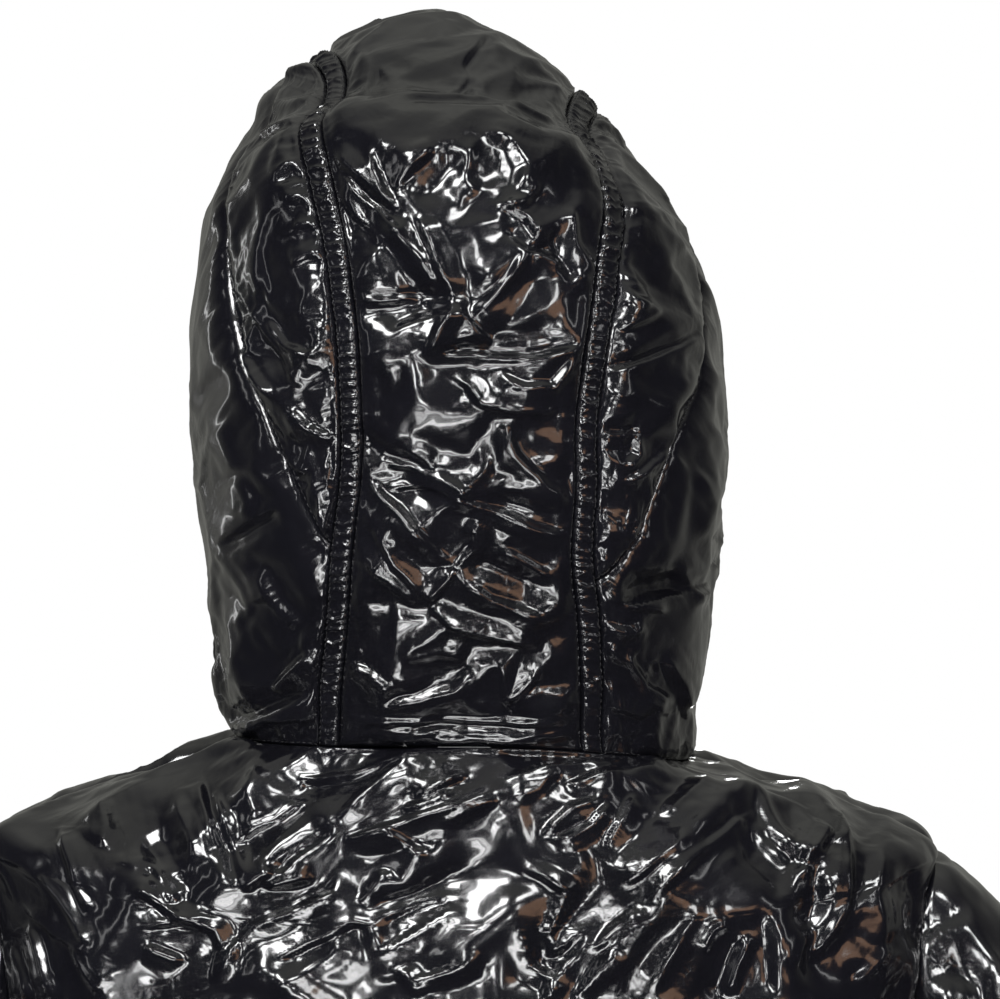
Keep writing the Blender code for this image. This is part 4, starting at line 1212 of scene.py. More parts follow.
def rim_faces(outer: Array, inner: Array, match: Array) -> list[Face]:
    """Faces between a line of outer points and a sparser inner one.

    Args:
        outer: Numbers of the outer points, in order, its end joined to its start.
        inner: Numbers of the inner points.
        match: For each inner point, its place in the outer line, rising.

    Returns:
        Triangles and quads that close the rim.
    """
    faces: list[Face] = []
    count = len(outer)
    for k, place in enumerate(match):
        after = match[(k + 1) % len(match)] + (count if k + 1 == len(match) else 0)
        here, there = inner[k], inner[(k + 1) % len(inner)]
        middle = (place + after) // 2
        for j in range(place, middle):
            faces.append((outer[j % count], outer[(j + 1) % count], here))
        faces.append((outer[middle % count], there, here))
        for j in range(middle, after):
            faces.append((outer[j % count], outer[(j + 1) % count], there))
    return faces


def new_object(name: str, points: Array, faces: list, *finishes: Material) -> Object:
    """A smooth mesh object with its finishes, its faces turned outwards.

    Args:
        name: The object's name.
        points: Its points.
        faces: The point numbers of each face.
        *finishes: Its materials.

    Returns:
        The object, in the scene.
    """
    mesh = bpy.data.meshes.new(name)
    mesh.from_pydata(points.tolist(), [], faces)
    turned = bmesh.new()
    turned.from_mesh(mesh)
    bmesh.ops.recalc_face_normals(turned, faces=turned.faces[:])
    turned.to_mesh(mesh)
    turned.free()
    mesh.shade_smooth()
    for finish in finishes:
        mesh.materials.append(finish)
    obj = bpy.data.objects.new(name, mesh)
    bpy.context.scene.collection.objects.link(obj)
    return obj


def padded_wall(name: str, cloth: Cloth) -> Object:
    """A closed wall of film, wadding and lining.

    Args:
        name: The piece's name.
        cloth: The piece, with its outer and inner points made.

    Returns:
        The object, with the film outside and the lining inside.
    """
    rows, columns = cloth.outer.shape[:2]
    around = cloth.patch.around
    kept_rows = np.unique(np.r_[0:rows:LINING_STEP, rows - 1])
    kept_columns = np.arange(0, columns, LINING_STEP)
    if not around:
        kept_columns = np.unique(np.r_[kept_columns, columns - 1])
    kept = np.ix_(kept_rows, kept_columns)
    outer_index = np.arange(rows * columns).reshape(rows, columns)
    inner_index = np.arange(len(kept_rows) * len(kept_columns)) + rows * columns
    inner_index = inner_index.reshape(len(kept_rows), -1)
    film = grid_quads(outer_index, around).tolist()
    lining = grid_quads(inner_index, around).tolist()
    if around:
        ends = (rim_faces(outer_index[end], inner_index[end], kept_columns) for end in (0, -1))
        rim = sum(ends, [])
    else:
        rim = rim_faces(*border(outer_index, inner_index, kept_rows, kept_columns))
    rim = [[int(i) for i in face] for face in rim]
    points = np.concatenate([cloth.outer.reshape(-1, 3), cloth.inner[kept].reshape(-1, 3)])
    obj = new_object(name, points, film + lining + rim)
    kinds = np.repeat([0, 1, 0], [len(film), len(lining), len(rim)])
    obj.data.polygons.foreach_set("material_index", kinds.astype(np.int32))
    places = np.stack([cloth.patch.u, cloth.patch.v], axis=-1)
    places = np.concatenate([places.reshape(-1, 2), places[kept].reshape(-1, 2)])
    spread_flat(obj.data, places, float(cloth.patch.width.mean()) if around else None)
    return obj


def border(
    outer: Array, inner: Array, kept_rows: Array, kept_columns: Array
) -> tuple[Array, Array, Array]:
    """The point numbers round an open grid, outside and inside, and how they match.

    Args:
        outer: The outer grid's point numbers.
        inner: The sparser inner grid's.
        kept_rows: The outer rows that the inner grid keeps.
        kept_columns: The outer columns.

    Returns:
        Outer numbers, inner numbers, and each inner point's place in the outer line.
    """
    last_row, last_column = outer.shape[0] - 1, outer.shape[1] - 1
    lines = [np.concatenate([g[0, :-1], g[:-1, -1], g[-1, :0:-1], g[:0:-1, 0]]) for g in (outer, inner)]
    there = [kept_columns[:-1], last_column + kept_rows[:-1]]
    back = [last_column - kept_columns[:0:-1], last_column + last_row - kept_rows[:0:-1]]
    return *lines, np.concatenate(there + [last_column + last_row + part for part in back])


def spread_flat(mesh: bpy.types.Mesh, places: Array, width: float | None) -> None:
    """Gives a mesh its places on the cut cloth, in metres, as UVs.

    Args:
        mesh: The mesh.
        places: A place for each point.
        width: The cloth's width where it runs round a tube, so that no face spans it.
    """
    corner = np.zeros(len(mesh.loops), np.int32)
    mesh.loops.foreach_get("vertex_index", corner)
    uv = places[corner]
    if width:
        starts, totals = np.zeros(len(mesh.polygons), np.int32), np.zeros(len(mesh.polygons), np.int32)
        mesh.polygons.foreach_get("loop_start", starts)
        mesh.polygons.foreach_get("loop_total", totals)
        owner = np.repeat(np.arange(len(starts)), totals)
        highest = np.maximum.reduceat(uv[:, 0], starts)[owner]
        uv[:, 0] += np.where(highest - uv[:, 0] > width / 2, width, 0)
    mesh.uv_layers.new(name="cloth").data.foreach_set("uv", uv.astype(np.float32).ravel())


# ---- simulation
@dataclass
class TrialSheet:
    """A coarser copy of a piece's film for the simulation."""

    cloth: Cloth
    rows: Array
    columns: Array
    obj: Object

    @property
    def points(self) -> Array:
        """The filled shape at the copy's points, before it settles."""
        picked = np.ix_(self.rows, self.columns)
        return (self.cloth.patch.base + self.cloth.patch.away * self.cloth.filled[..., None])[picked]


@dataclass(frozen=True)
class Settling:
    """Cloth simulation: film cut longer than its shape buckles between the seams that hold it."""

    held: float = 0.004
    growth: float = 0.03
    pressure: float = 0.02
    frames: int = 18
    most: float = 0.0035
    bending: float = 1.0
    swell: int = 30  # rounds of smoothing that tell a broad swell, which is taken off again
    wadding: tuple[float, float] = (0.02, 0.10)  # how firmly the wadding holds the film, from 0 to 1

    def spaced(self, run: Array, spacing: float) -> Array:
        """Numbers of the points that lie about the spacing apart, always with both ends.

        Args:
            run: The points' distances, rising.
            spacing: How far apart the kept points lie.

        Returns:
            Numbers of the kept points.
        """
        kept = [0]
        for i in range(1, len(run) - 1):
            if run[i] - run[kept[-1]] >= spacing and run[-1] - run[i] > 0.5 * spacing:
                kept.append(i)
        return np.array(kept + [len(run) - 1])

    def trial(self, cloth: Cloth) -> TrialSheet:
        """Makes a piece's trial sheet with its seams pinned.

        Args:
            cloth: The piece, laid out.

        Returns:
            The sheet, ready to settle.
        """
        patch = cloth.patch
        middle = patch.u.shape[1] // 2
        rows = self.spaced(patch.v[:, middle], cloth.trial_spacing)
        widest = int(np.argmax(patch.width))
        columns = self.spaced(patch.u[widest], cloth.trial_spacing)
        mesh = bpy.data.meshes.new("trial")
        obj = bpy.data.objects.new("trial", mesh)
        sheet = TrialSheet(cloth, rows, columns, obj)
        points = sheet.points.reshape(-1, 3)
        index = np.arange(len(points)).reshape(len(rows), -1)
        mesh.from_pydata(points.tolist(), [], crossed_triangles(index, patch.around).tolist())
        bpy.context.scene.collection.objects.link(obj)
        pinned = obj.vertex_groups.new(name="pinned")
        picked = np.ix_(rows, columns)
        u, v = patch.u[picked], patch.v[picked]
        firm = ease(0.5 + 0.8 * soft_noise(u, v, 0.038, 77) + 0.4 * soft_noise(u, v, 0.017, 78))
        firm = self.wadding[0] + (self.wadding[1] - self.wadding[0]) * firm
        hold = np.maximum(1 - ease(cloth.edge[picked] / self.held - 0.4), firm)
        for number, weight in enumerate(hold.ravel()):
            pinned.add([number], float(weight), "REPLACE")
        modifier = obj.modifiers.new("cloth", "CLOTH")
        modifier.point_cache.frame_start, modifier.point_cache.frame_end = 1, self.frames
        settings = modifier.settings
        settings.quality = 5
        settings.mass = 0.1
        settings.tension_stiffness = settings.compression_stiffness = 20.0
        settings.shear_stiffness = 10.0
        settings.bending_stiffness = self.bending
        settings.shrink_min = -self.growth
        settings.vertex_group_mass = "pinned"
        settings.use_pressure = True
        settings.uniform_pressure_force = self.pressure
        settings.effector_weights.gravity = 0.0
        modifier.collision_settings.use_collision = False
        return sheet

    def run(self, cloths: list[Cloth]) -> None:
        """Lets every piece settle and keeps how far its film moved in or out.

        Args:
            cloths: The pieces that settle.
        """
        sheets = [self.trial(cloth) for cloth in cloths]
        for number in range(1, self.frames + 1):
            bpy.context.scene.frame_set(number)
        graph = bpy.context.evaluated_depsgraph_get()
        for sheet in sheets:
            settled = sheet.obj.evaluated_get(graph).to_mesh()
            flat = np.zeros(3 * len(settled.vertices))
            settled.vertices.foreach_get("co", flat)
            cloth, picked = sheet.cloth, np.ix_(sheet.rows, sheet.columns)
            moved = flat.reshape(len(sheet.rows), len(sheet.columns), 3) - sheet.points
            rise = (moved * cloth.patch.away[picked]).sum(-1)
            broad = rise
            for _ in range(self.swell):
                broad = softened(broad)
            rise = softened(self.most * np.tanh((rise - 0.8 * broad) / self.most))
            down = smooth_curve(sheet.rows.astype(float), rise, np.arange(cloth.filled.shape[0]))
            full = smooth_curve(sheet.columns.astype(float), down.T, np.arange(cloth.filled.shape[1])).T
            cloth.filled = cloth.filled + full * ease(cloth.edge / SEAM_HOLD)
            LOG.info("%s settled: %.2f mm on average", cloth.name, float(np.abs(rise).mean()) / MM)
        for sheet in sheets:
            mesh = sheet.obj.data
            bpy.data.objects.remove(sheet.obj)
            bpy.data.meshes.remove(mesh)
        bpy.context.scene.frame_set(1)


# ---- thread
@dataclass(frozen=True)
class Thread:
    """A line of machine stitches."""

    length: float = 2.7 * MM
    gap: float = 0.8 * MM
    radius: float = 0.26 * MM
    lift: float = 0.22 * MM

    def sew(self, line: Array, away: Array, closed: bool = False) -> tuple[Array, Array]:
        """Stitches along a line on the cloth.

        Args:
            line: Points of the line.
            away: The directions out of the cloth there.
            closed: Whether the line's end joins its start.

        Returns:
            The stitches' points, and their quads.
        """
        if closed:
            line, away = np.concatenate([line, line[:1]]), np.concatenate([away, away[:1]])
        run = run_along(line, 0)
        starts = np.arange(0.5 * self.gap, run[-1] - self.length, self.length + self.gap)
        stations, sections = [], []
        for share, size, lift in ((0.0, 0.45, -0.5), (0.5, 1.0, 1.0), (1.0, 0.45, -0.5)):
            at = starts + share * self.length
            middle = np.stack([np.interp(at, run, line[:, k]) for k in range(3)], axis=-1)
            out = unit(np.stack([np.interp(at, run, away[:, k]) for k in range(3)], axis=-1))
            stations.append(middle + out * self.lift * lift)
            sections.append((out * self.radius * size, size))
        forward = unit(stations[2] - stations[0])
        rings = []
        for middle, (out, size) in zip(stations, sections):
            aside = unit(np.cross(forward, out)) * self.radius * size
            rings.append(np.stack([middle + out, middle + aside, middle - out, middle - aside], axis=1))
        points = np.stack(rings, axis=1).reshape(-1, 3)
        faces = np.array(tube_faces(3, 4)) + 12 * np.arange(len(starts))[:, None, None]
        return points, faces.reshape(-1, 4)


@dataclass
class Stitching:
    """All the stitching of one part of the jacket, joined as one piece."""

    name: str
    thread: Thread = field(default_factory=Thread)
    points: list[Array] = field(default_factory=list)
    faces: list[Array] = field(default_factory=list)

    def add(self, line: Array, away: Array, closed: bool = False) -> None:
        """Adds one line of stitches.

        Args:
            line: Points of the line.
            away: The directions out of the cloth there.
            closed: Whether the line's end joins its start.
        """
        points, faces = self.thread.sew(line, away, closed)
        self.faces.append(faces + sum(len(p) for p in self.points))
        self.points.append(points)

    def build(self, finish: Material) -> Object:
        """Makes the piece.

        Args:
            finish: The thread's material.

        Returns:
            The stitches as one object.
        """
        points, faces = np.concatenate(self.points), np.concatenate(self.faces)
        obj = new_object(self.name, points, faces.tolist(), finish)
        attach(obj, "jacket")
        LOG.info("%s: %d faces", self.name, len(obj.data.polygons))
        return obj


# ---- finishes
@dataclass
class Graph:
    """A node tree with short ways to add and join nodes."""

    tree: Tree

    def feed(self, node: Node, **sockets: object) -> Node:
        """Sets a node's inputs.

        Args:
            node: The node.
            **sockets: Inputs by name, "_" for a space, or by "n" and number: a value or an output.

        Returns:
            The node.
        """
        for name, value in sockets.items():
            key = int(name[1:]) if name[0] == "n" and name[1:].isdigit() else name.replace("_", " ")
            if isinstance(value, Socket):
                self.tree.links.new(value, node.inputs[key])
            else:
                node.inputs[key].default_value = value
        return node

    def add(self, kind: str, settings: dict | None = None, **sockets: object) -> Node:
        """Adds a node of a kind, named without "ShaderNode", with its attributes and inputs.

        Args:
            kind: The node's kind.
            settings: Its attributes.
            **sockets: Its inputs, as for feed.

        Returns:
            The node.
        """
        node = self.tree.nodes.new("ShaderNode" + kind)
        for name, value in (settings or {}).items():
            setattr(node, name, value)
        return self.feed(node, **sockets)

    def noise(self, place: Socket, scale: object, detail: float, roughness: float = 0.5) -> Socket:
        """Noise from 0 to 1."""
        node = self.add("TexNoise", Vector=place, Scale=scale, Detail=detail, Roughness=roughness)
        return node.outputs["Fac"]

    def math(self, operation: str, first: object, second: object = 0.0, clamp: bool = False) -> Socket:
        """The result of a Math node."""
        node = self.add("Math", {"operation": operation, "use_clamp": clamp}, n0=first, n1=second)
        return node.outputs[0]

    def times(self, first: object, second: object) -> Socket:
        """The product of two values."""
        return self.math("MULTIPLY", first, second)

    def ramp(
        self, value: object, low: float, high: float, start: float = 0.0, end: float = 1.0
    ) -> Socket:
        """A value carried smoothly from low..high to start..end."""
        node = self.add("MapRange", {"interpolation_type": "SMOOTHSTEP"}, Value=value)
        return self.feed(node, From_Min=low, From_Max=high, To_Min=start, To_Max=end).outputs["Result"]

    def mix(self, share: object, first: object, second: object) -> Socket:
        """A colour between two others."""
        return self.add("Mix", {"data_type": "RGBA"}, n0=share, n6=first, n7=second).outputs[2]

    def bump(self, strength: float, depth: float, height: object, **normal: object) -> Socket:
        """The normal over a relief, laid on another normal where one is given."""
        node = self.add("Bump", Strength=strength, Distance=depth, Height=height, **normal)
        return node.outputs["Normal"]


def new_group(name: str, inputs: dict[str, float], outputs: tuple[str, ...]) -> tuple[Graph, dict, Node]:
    """Starts a shader node group.

    Args:
        name: The group's name.
        inputs: Its number inputs and their usual values. A vector input comes first.
        outputs: Its number outputs.

    Returns:
        The group's graph, its input sockets by name, and its output node.
    """
    tree = bpy.data.node_groups.new(name, "ShaderNodeTree")
    tree.interface.new_socket("Vector", in_out="INPUT", socket_type="NodeSocketVector")
    for label, value in inputs.items():
        made = tree.interface.new_socket(label, in_out="INPUT", socket_type="NodeSocketFloat")
        made.default_value = value
    for label in outputs:
        tree.interface.new_socket(label, in_out="OUTPUT", socket_type="NodeSocketFloat")
    start, end = tree.nodes.new("NodeGroupInput"), tree.nodes.new("NodeGroupOutput")
    return Graph(tree), {s.name: s for s in start.outputs if s.name}, end


def film_crinkle_group() -> Tree:
    """Fine creases and grain of a thin coating, gathered in patches.

    Returns:
        The group's tree.
    """
    numbers = {"Creases per metre": 150.0, "Grain per metre": 2600.0}
    graph, given, end = new_group("film_crinkle", numbers, ("Height", "Grain", "Patches"))
    vector, creases = given["Vector"], given["Creases per metre"]
    rough = graph.ramp(graph.noise(vector, 14.0, 2.0, 0.6), 0.46, 0.62)
    bent = graph.add("TexNoise", Vector=vector, Scale=60.0, Detail=2.0)
    shifted = graph.add("VectorMath", {"operation": "SCALE"}, n0=bent.outputs["Color"], Scale=0.006)
    place = graph.add("VectorMath", {"operation": "ADD"}, n0=vector, n1=shifted.outputs[0]).outputs[0]
    coarse = graph.add("TexVoronoi", {"feature": "DISTANCE_TO_EDGE"}, Vector=place, Scale=creases)
    ridge = graph.ramp(coarse.outputs["Distance"], 0.0, 0.25, 1.0, 0.0)
    finer_creases = graph.times(creases, 2.7)
    finer = graph.add("TexVoronoi", {"feature": "SMOOTH_F1"}, Vector=place, Scale=finer_creases)
    both = graph.math("ADD", graph.times(ridge, 0.55), graph.times(finer.outputs[0], 0.5))
    height = graph.times(both, graph.math("ADD", graph.times(rough, 0.85), 0.15))
    grain = graph.noise(vector, given["Grain per metre"], 1.0)
    graph.feed(end, Height=height, Grain=grain, Patches=rough)
    return graph.tree


def weave_group() -> Tree:
    """A plain weave, from places on the cut cloth in metres.

    Returns:
        The group's tree.
    """
    graph, given, end = new_group("weave", {"Threads per metre": 2400.0}, ("Height", "Shade"))
    turns = graph.times(given["Threads per metre"], math.pi)
    axes = graph.add("SeparateXYZ", Vector=given["Vector"])
    over, under = (graph.math("SINE", graph.times(axes.outputs[name], turns)) for name in "XY")
    crossed = graph.times(over, under)
    uneven = graph.noise(given["Vector"], 900.0, 2.0)
    height = graph.math("ADD", crossed, graph.times(uneven, 0.8))
    graph.feed(end, Height=height, Shade=graph.ramp(crossed, -1.0, 1.0))
    return graph.tree


def dust_group() -> Tree:
    """Faint dust and handling marks: large soft clouds broken by fine specks.

    Returns:
        The group's tree.
    """
    graph, given, end = new_group("dust", {"Amount": 0.3}, ("Mask",))
    soft = graph.ramp(graph.noise(given["Vector"], 9.0, 4.0, 0.65), 0.45, 0.75)
    fine = graph.ramp(graph.noise(given["Vector"], 700.0, 2.0), 0.50, 0.72)
    mask = graph.math("MULTIPLY", graph.times(soft, fine), given["Amount"], clamp=True)
    graph.feed(end, Mask=mask)
    return graph.tree


def effect(graph: Graph, tree: Tree, vector: Socket, **values: float) -> Node:
    """Places a node group in a material, with its own values."""
    return graph.add("Group", {"node_tree": tree}, Vector=vector, **values)


@dataclass(frozen=True)
class FilmShell:
    """The shell: thin cloth under a black mirror-like coating."""

    name: str = "wet_look_film"
    colour: Triple = (0.0065, 0.0065, 0.0090)
    worn: Triple = (0.021, 0.020, 0.022)
    smooth: float = 0.10
    rough: float = 0.22
    coat_roughness: float = 0.06

    def build(self, crinkle: Tree, dust: Tree) -> Material:
        """Makes the material from the shared effects.

        Args:
            crinkle: The effect of fine creases.
            dust: The effect of dust.

        Returns:
            The material.
        """
        material, graph, shader, place = new_material(self.name)
        film = effect(graph, crinkle, place.outputs["Object"])
        dusty = effect(graph, dust, place.outputs["Object"], Amount=0.35)
        darker = (*(0.8 * part for part in self.colour), 1)
        tone = graph.mix(film.outputs["Patches"], (*self.colour, 1), darker)
        tone = graph.mix(dusty.outputs["Mask"], tone, (*self.worn, 1))
        spread = graph.ramp(film.outputs["Grain"], 0.3, 0.7, self.smooth, self.rough)
        grain = graph.bump(0.22, 0.00012, film.outputs["Grain"])
        bump = graph.bump(0.3, 0.0005, film.outputs["Height"], Normal=grain)
        graph.feed(shader, Base_Color=tone, Roughness=spread, Normal=bump, IOR=1.52)
        graph.feed(shader, Coat_Weight=0.75, Coat_Roughness=self.coat_roughness, Coat_IOR=1.5)
        return material


@dataclass(frozen=True)
class WovenCloth:
    """A woven cloth: lining, tape or thread."""

    name: str
    colour: Triple
    light: Triple
    threads: float
    roughness: float
    depth: float
    sheen: float = 0.0

    def build(self, weave: Tree, dust: Tree, uses_uv: bool) -> Material:
        """Makes the material, its weave laid out by UVs or by the object's own axes.

        Args:
            weave: The effect of woven threads.
            dust: The effect of dust.
            uses_uv: Whether the weave follows the cut cloth.

        Returns:
            The material.
        """
        material, graph, shader, place = new_material(self.name)
        vector = place.outputs["UV" if uses_uv else "Object"]
        cloth = effect(graph, weave, vector, Threads_per_metre=self.threads)
        dusty = effect(graph, dust, place.outputs["Object"], Amount=0.25)
        tone = graph.mix(cloth.outputs["Shade"], (*self.colour, 1), (*self.light, 1))
        tone = graph.mix(dusty.outputs["Mask"], tone, (0.05, 0.05, 0.05, 1))
        bump = graph.bump(0.6, self.depth, cloth.outputs["Height"])
        graph.feed(shader, Base_Color=tone, Normal=bump)
        graph.feed(shader, Roughness=self.roughness, Sheen_Weight=self.sheen)
        return material


@dataclass(frozen=True)
class MouldedPart:
    """A moulded or cast part: plastic teeth or the slider's coated metal."""

    name: str
    colour: Triple
    edge: Triple
    roughness: float
    metallic: float

    def build(self, dust: Tree) -> Material:
        """Makes the material, lighter on worn edges.

        Args:
            dust: The effect of dust.

        Returns:
            The material.
        """
        material, graph, shader, place = new_material(self.name)
        rubbed = graph.ramp(graph.add("NewGeometry").outputs["Pointiness"], 0.51, 0.57)
        streaks = graph.noise(place.outputs["Object"], 900.0, 3.0)
        dusty = effect(graph, dust, place.outputs["Object"], Amount=0.3)
        tone = graph.mix(graph.times(rubbed, 0.7), (*self.colour, 1), (*self.edge, 1))
        tone = graph.mix(dusty.outputs["Mask"], tone, (0.06, 0.06, 0.06, 1))
        spread = graph.ramp(streaks, 0.3, 0.7, 0.75 * self.roughness, 1.3 * self.roughness)
        bump = graph.bump(0.25, 0.0001, streaks)
        graph.feed(shader, Base_Color=tone, Roughness=spread, Normal=bump, Metallic=self.metallic)
        return material


def new_material(name: str) -> tuple[Material, Graph, Node, Node]:
    """An empty material with its shader and its texture places.

    Args:
        name: The material's name.

    Returns:
        The material, its graph, its Principled shader and its Texture Coordinate node.
    """
    material = bpy.data.materials.new(name)
    material.use_nodes = True
    graph = Graph(material.node_tree)
    shader = material.node_tree.nodes["Principled BSDF"]
    return material, graph, shader, graph.add("TexCoord")


LINING = WovenCloth(
    "lining_taffeta", (0.010, 0.010, 0.011), (0.017, 0.017, 0.018), 1500, 0.52, 0.0001, 0.1
)
THREAD = WovenCloth(
    "polyester_thread", (0.012, 0.012, 0.014), (0.030, 0.030, 0.033), 4200, 0.45, 0.00005
)
TAPE = WovenCloth(
    "zip_tape_weave", (0.010, 0.010, 0.011), (0.024, 0.024, 0.025), 1300, 0.72, 0.0002, 0.1
)
TEETH = MouldedPart("moulded_teeth", (0.014, 0.014, 0.016), (0.035, 0.035, 0.037), 0.30, 0.0)
METAL = MouldedPart("slider_coating", (0.055, 0.055, 0.060), (0.25, 0.25, 0.26), 0.24, 1.0)


@dataclass
class Finishes:
    """Every material of the jacket, each made once."""

    shell: Material = field(init=False)
    lining: Material = field(init=False)
    thread: Material = field(init=False)
    tape: Material = field(init=False)
    teeth: Material = field(init=False)
    metal: Material = field(init=False)

    def __post_init__(self) -> None:
        """Makes the shared effects, then the materials."""
        crinkle, weave, dust = film_crinkle_group(), weave_group(), dust_group()
        self.shell = FilmShell().build(crinkle, dust)
        self.lining = LINING.build(weave, dust, True)
        self.thread = THREAD.build(weave, dust, False)
        self.tape = TAPE.build(weave, dust, False)
        self.teeth, self.metal = TEETH.build(dust), METAL.build(dust)


# ---- sub-assemblies
def film_crumples(
    salt: int, turn: float = 0.6, scale: float = 1.0, rise: float = 1.0
) -> tuple[Crumple, ...]:
    """The three sizes of crumple that the film has everywhere.

    Args:
        salt: Sets where the creases lie.
        turn: Direction of the largest, in radians.
        scale: How large the two larger ones are.
        rise: How high the largest stands.

    Returns:
        The largest first.
    """
    return (
        Crumple(0.024 * scale, 0.0072 * scale * rise, salt, turn, 1.9, sharp=22.0),
        Crumple(0.011 * scale, 0.0009 * scale, salt + 20, turn + 0.4, 2.6, bowls=False, sharp=14.0),
        Crumple(0.0046, 0.0003, salt + 40, turn - 0.3, 4.0),
    )


def channel_loft(along: Array, first: float, height: float, puff: float) -> Array:
    """Loft of the sewn channels above a first line of stitching."""
    place = np.clip((along - first) / height, 0, None)
    return puff * np.abs(np.sin(math.pi * (place - np.floor(place)))) ** 0.6


def turned_loft(along: Array, start: float, width: float, puff: float) -> Array:
    """Loft of a turned hem or cuff."""
    return puff * np.sin(math.pi * np.clip((along - start) / width, 0, 1))


def channel_pucker(u: Array, along: Array, seams: Array, rise: float, salt: int) -> Array:
    """Wrinkles that stand across each line of the channels' stitching.

    Args:
        u: Distance across the cloth.
        along: Distance along it.
        seams: Where the lines lie.
        rise: How high the longer wrinkles stand.
        salt: Sets where they lie.

    Returns:
        Heights in metres.
    """
    long_ones = Pucker(0.0125, rise, 0.020, salt, held=0.004)
    short_ones = Pucker(0.0052, 0.0009, 0.008, salt + 9, held=0.002)
    total = np.zeros_like(u)
    for k, seam in enumerate(seams):
        off = np.abs(along - seam)
        total += long_ones.height(u + 0.31 * k, off) + short_ones.height(u + 0.17 * k, off)
    return total


@dataclass
class Body:
    """The back and the two fronts, with a plain yoke over sewn channels."""

    form: TorsoForm
    yoke_puff: float = 0.004
    channel_puff: float = 0.013
    hem_share: float = 0.35
    under_arm_loss: float = 0.55
    under_arm: float = 0.150
    under_arm_fade: float = 0.070
    back_columns: int = 300
    front_columns: int = 96
    fine_from: float = 0.488
    fine_row: float = 0.0014
    plain_row: float = 0.0048
    rows: Array = field(init=False)
    pieces: dict[str, Cloth] = field(default_factory=dict)

    def __post_init__(self) -> None:
        """Sets the rows, close together high up and where the armholes end."""
        top = BODY_LENGTH - NECK_GAP / 2
        plain = np.arange(0, self.fine_from, self.plain_row)
        fine = np.linspace(self.fine_from, top, round((BODY_LENGTH - self.fine_from) / self.fine_row))
        steps = [side * step for side in (-1, 1) for step in (0.0003, 0.0012, 0.0026)]
        ends = [end + step for end in (ARMPIT, TIP) for step in steps]
        rows = np.unique(np.concatenate([plain, fine, ends, BODY_SEAMS]))
        self.rows = rows[np.r_[True, np.diff(rows) > 0.0002]]

    def loft(self, along: Array) -> Array:
        """Loft up the body: a turned hem, sewn channels and a plain yoke.

        Args:
            along: Distances up the back from the hem.

        Returns:
            Heights in metres.
        """
        channel = channel_loft(along, HEM_BAND, CHANNEL_HEIGHT, self.channel_puff)
        hem = turned_loft(along, 0, HEM_BAND, self.hem_share * self.channel_puff)
        yoke = self.yoke_puff * loft(along - YOKE_START) * loft(BODY_LENGTH - along)
        return np.where(along < HEM_BAND, hem, np.where(along < YOKE_START, channel, yoke))

    def panel(
        self, name: str, start: Array, end: Array, columns: int, origin: Array | float, **looks: object
    ) -> None:
        """Lays out one panel.

        Args:
            name: The panel's node.
            start: The angle round the body that each row starts at.
            end: The angle that it ends at.
            columns: How many columns of faces it has.
            origin: Where u is 0, as a share of each row.
            **looks: What the film does on it, as Cloth takes it.
        """
        angle = start[:, None] + (end - start)[:, None] * np.linspace(0, 1, columns + 1)
        along = np.repeat(self.rows[:, None], columns + 1, axis=1)
        patch = Patch(self.form.point(angle, along), self.form.away(angle, along), origin=origin)
        under_arm = ease((np.abs(patch.base[..., 0]) - self.under_arm) / self.under_arm_fade)
        below_armpit = ease((ARMPIT + 0.07 - along) / 0.05)
        flatter = 1 - self.under_arm_loss * under_arm * below_armpit
        puff = self.loft(along) * loft(patch.from_side) * flatter
        wrinkles = channel_pucker(patch.u, along, BODY_SEAMS, 0.0034, 3 * len(name))
        puff += wrinkles * ease(patch.from_side / 0.006)
        self.pieces[name] = Cloth("cloth_" + name, name, patch, puff, **looks)

    def lay_out(self) -> None:
        """Lays out the three panels."""
        gap = SEAM_GAP / 2 / self.form.loops["half_width"].mean()
        rows = self.rows
        right = gap - self.form.armhole_angle(Side.RIGHT, rows)
        left = self.form.armhole_angle(Side.LEFT, rows) - gap
        self.panel(
            "back", right, left, self.back_columns, -right / (left - right),
            cut=Cut(0.60, 0.76, 0.37),
            back_folds=BACK_FOLDS,
            trial_spacing=0.0058,
            side_pucker=Pucker(0.0070, 0.0013, 0.012, 301),
            end_pucker=Pucker(0.0060, 0.0010, 0.011, 311),
            crumples=film_crumples(101, 2.2, 1.9, 0.9),
        )
        for side, salt, lean in ((Side.LEFT, 401, 2.1), (Side.RIGHT, 501, 1.0)):
            outer = side.value * (math.pi - self.form.armhole_angle(side, rows) + gap)
            inner = side.value * (math.pi - self.form.front_edge_angle(rows))
            self.panel(
                "front_" + side.label, outer, inner, self.front_columns, 1.0,
                cut=Cut(0.31, 0.76, 0.175),
                strewn_folds=strewn((-230, 500), (-20, 690), 34, lean, salt),
                trial_spacing=0.0042,
                side_pucker=Pucker(0.0075, 0.0014, 0.014, salt + 1),
                end_pucker=Pucker(0.0060, 0.0010, 0.011, salt + 2),
                crumples=film_crumples(salt + 3, 0.4, 1.4),
            )


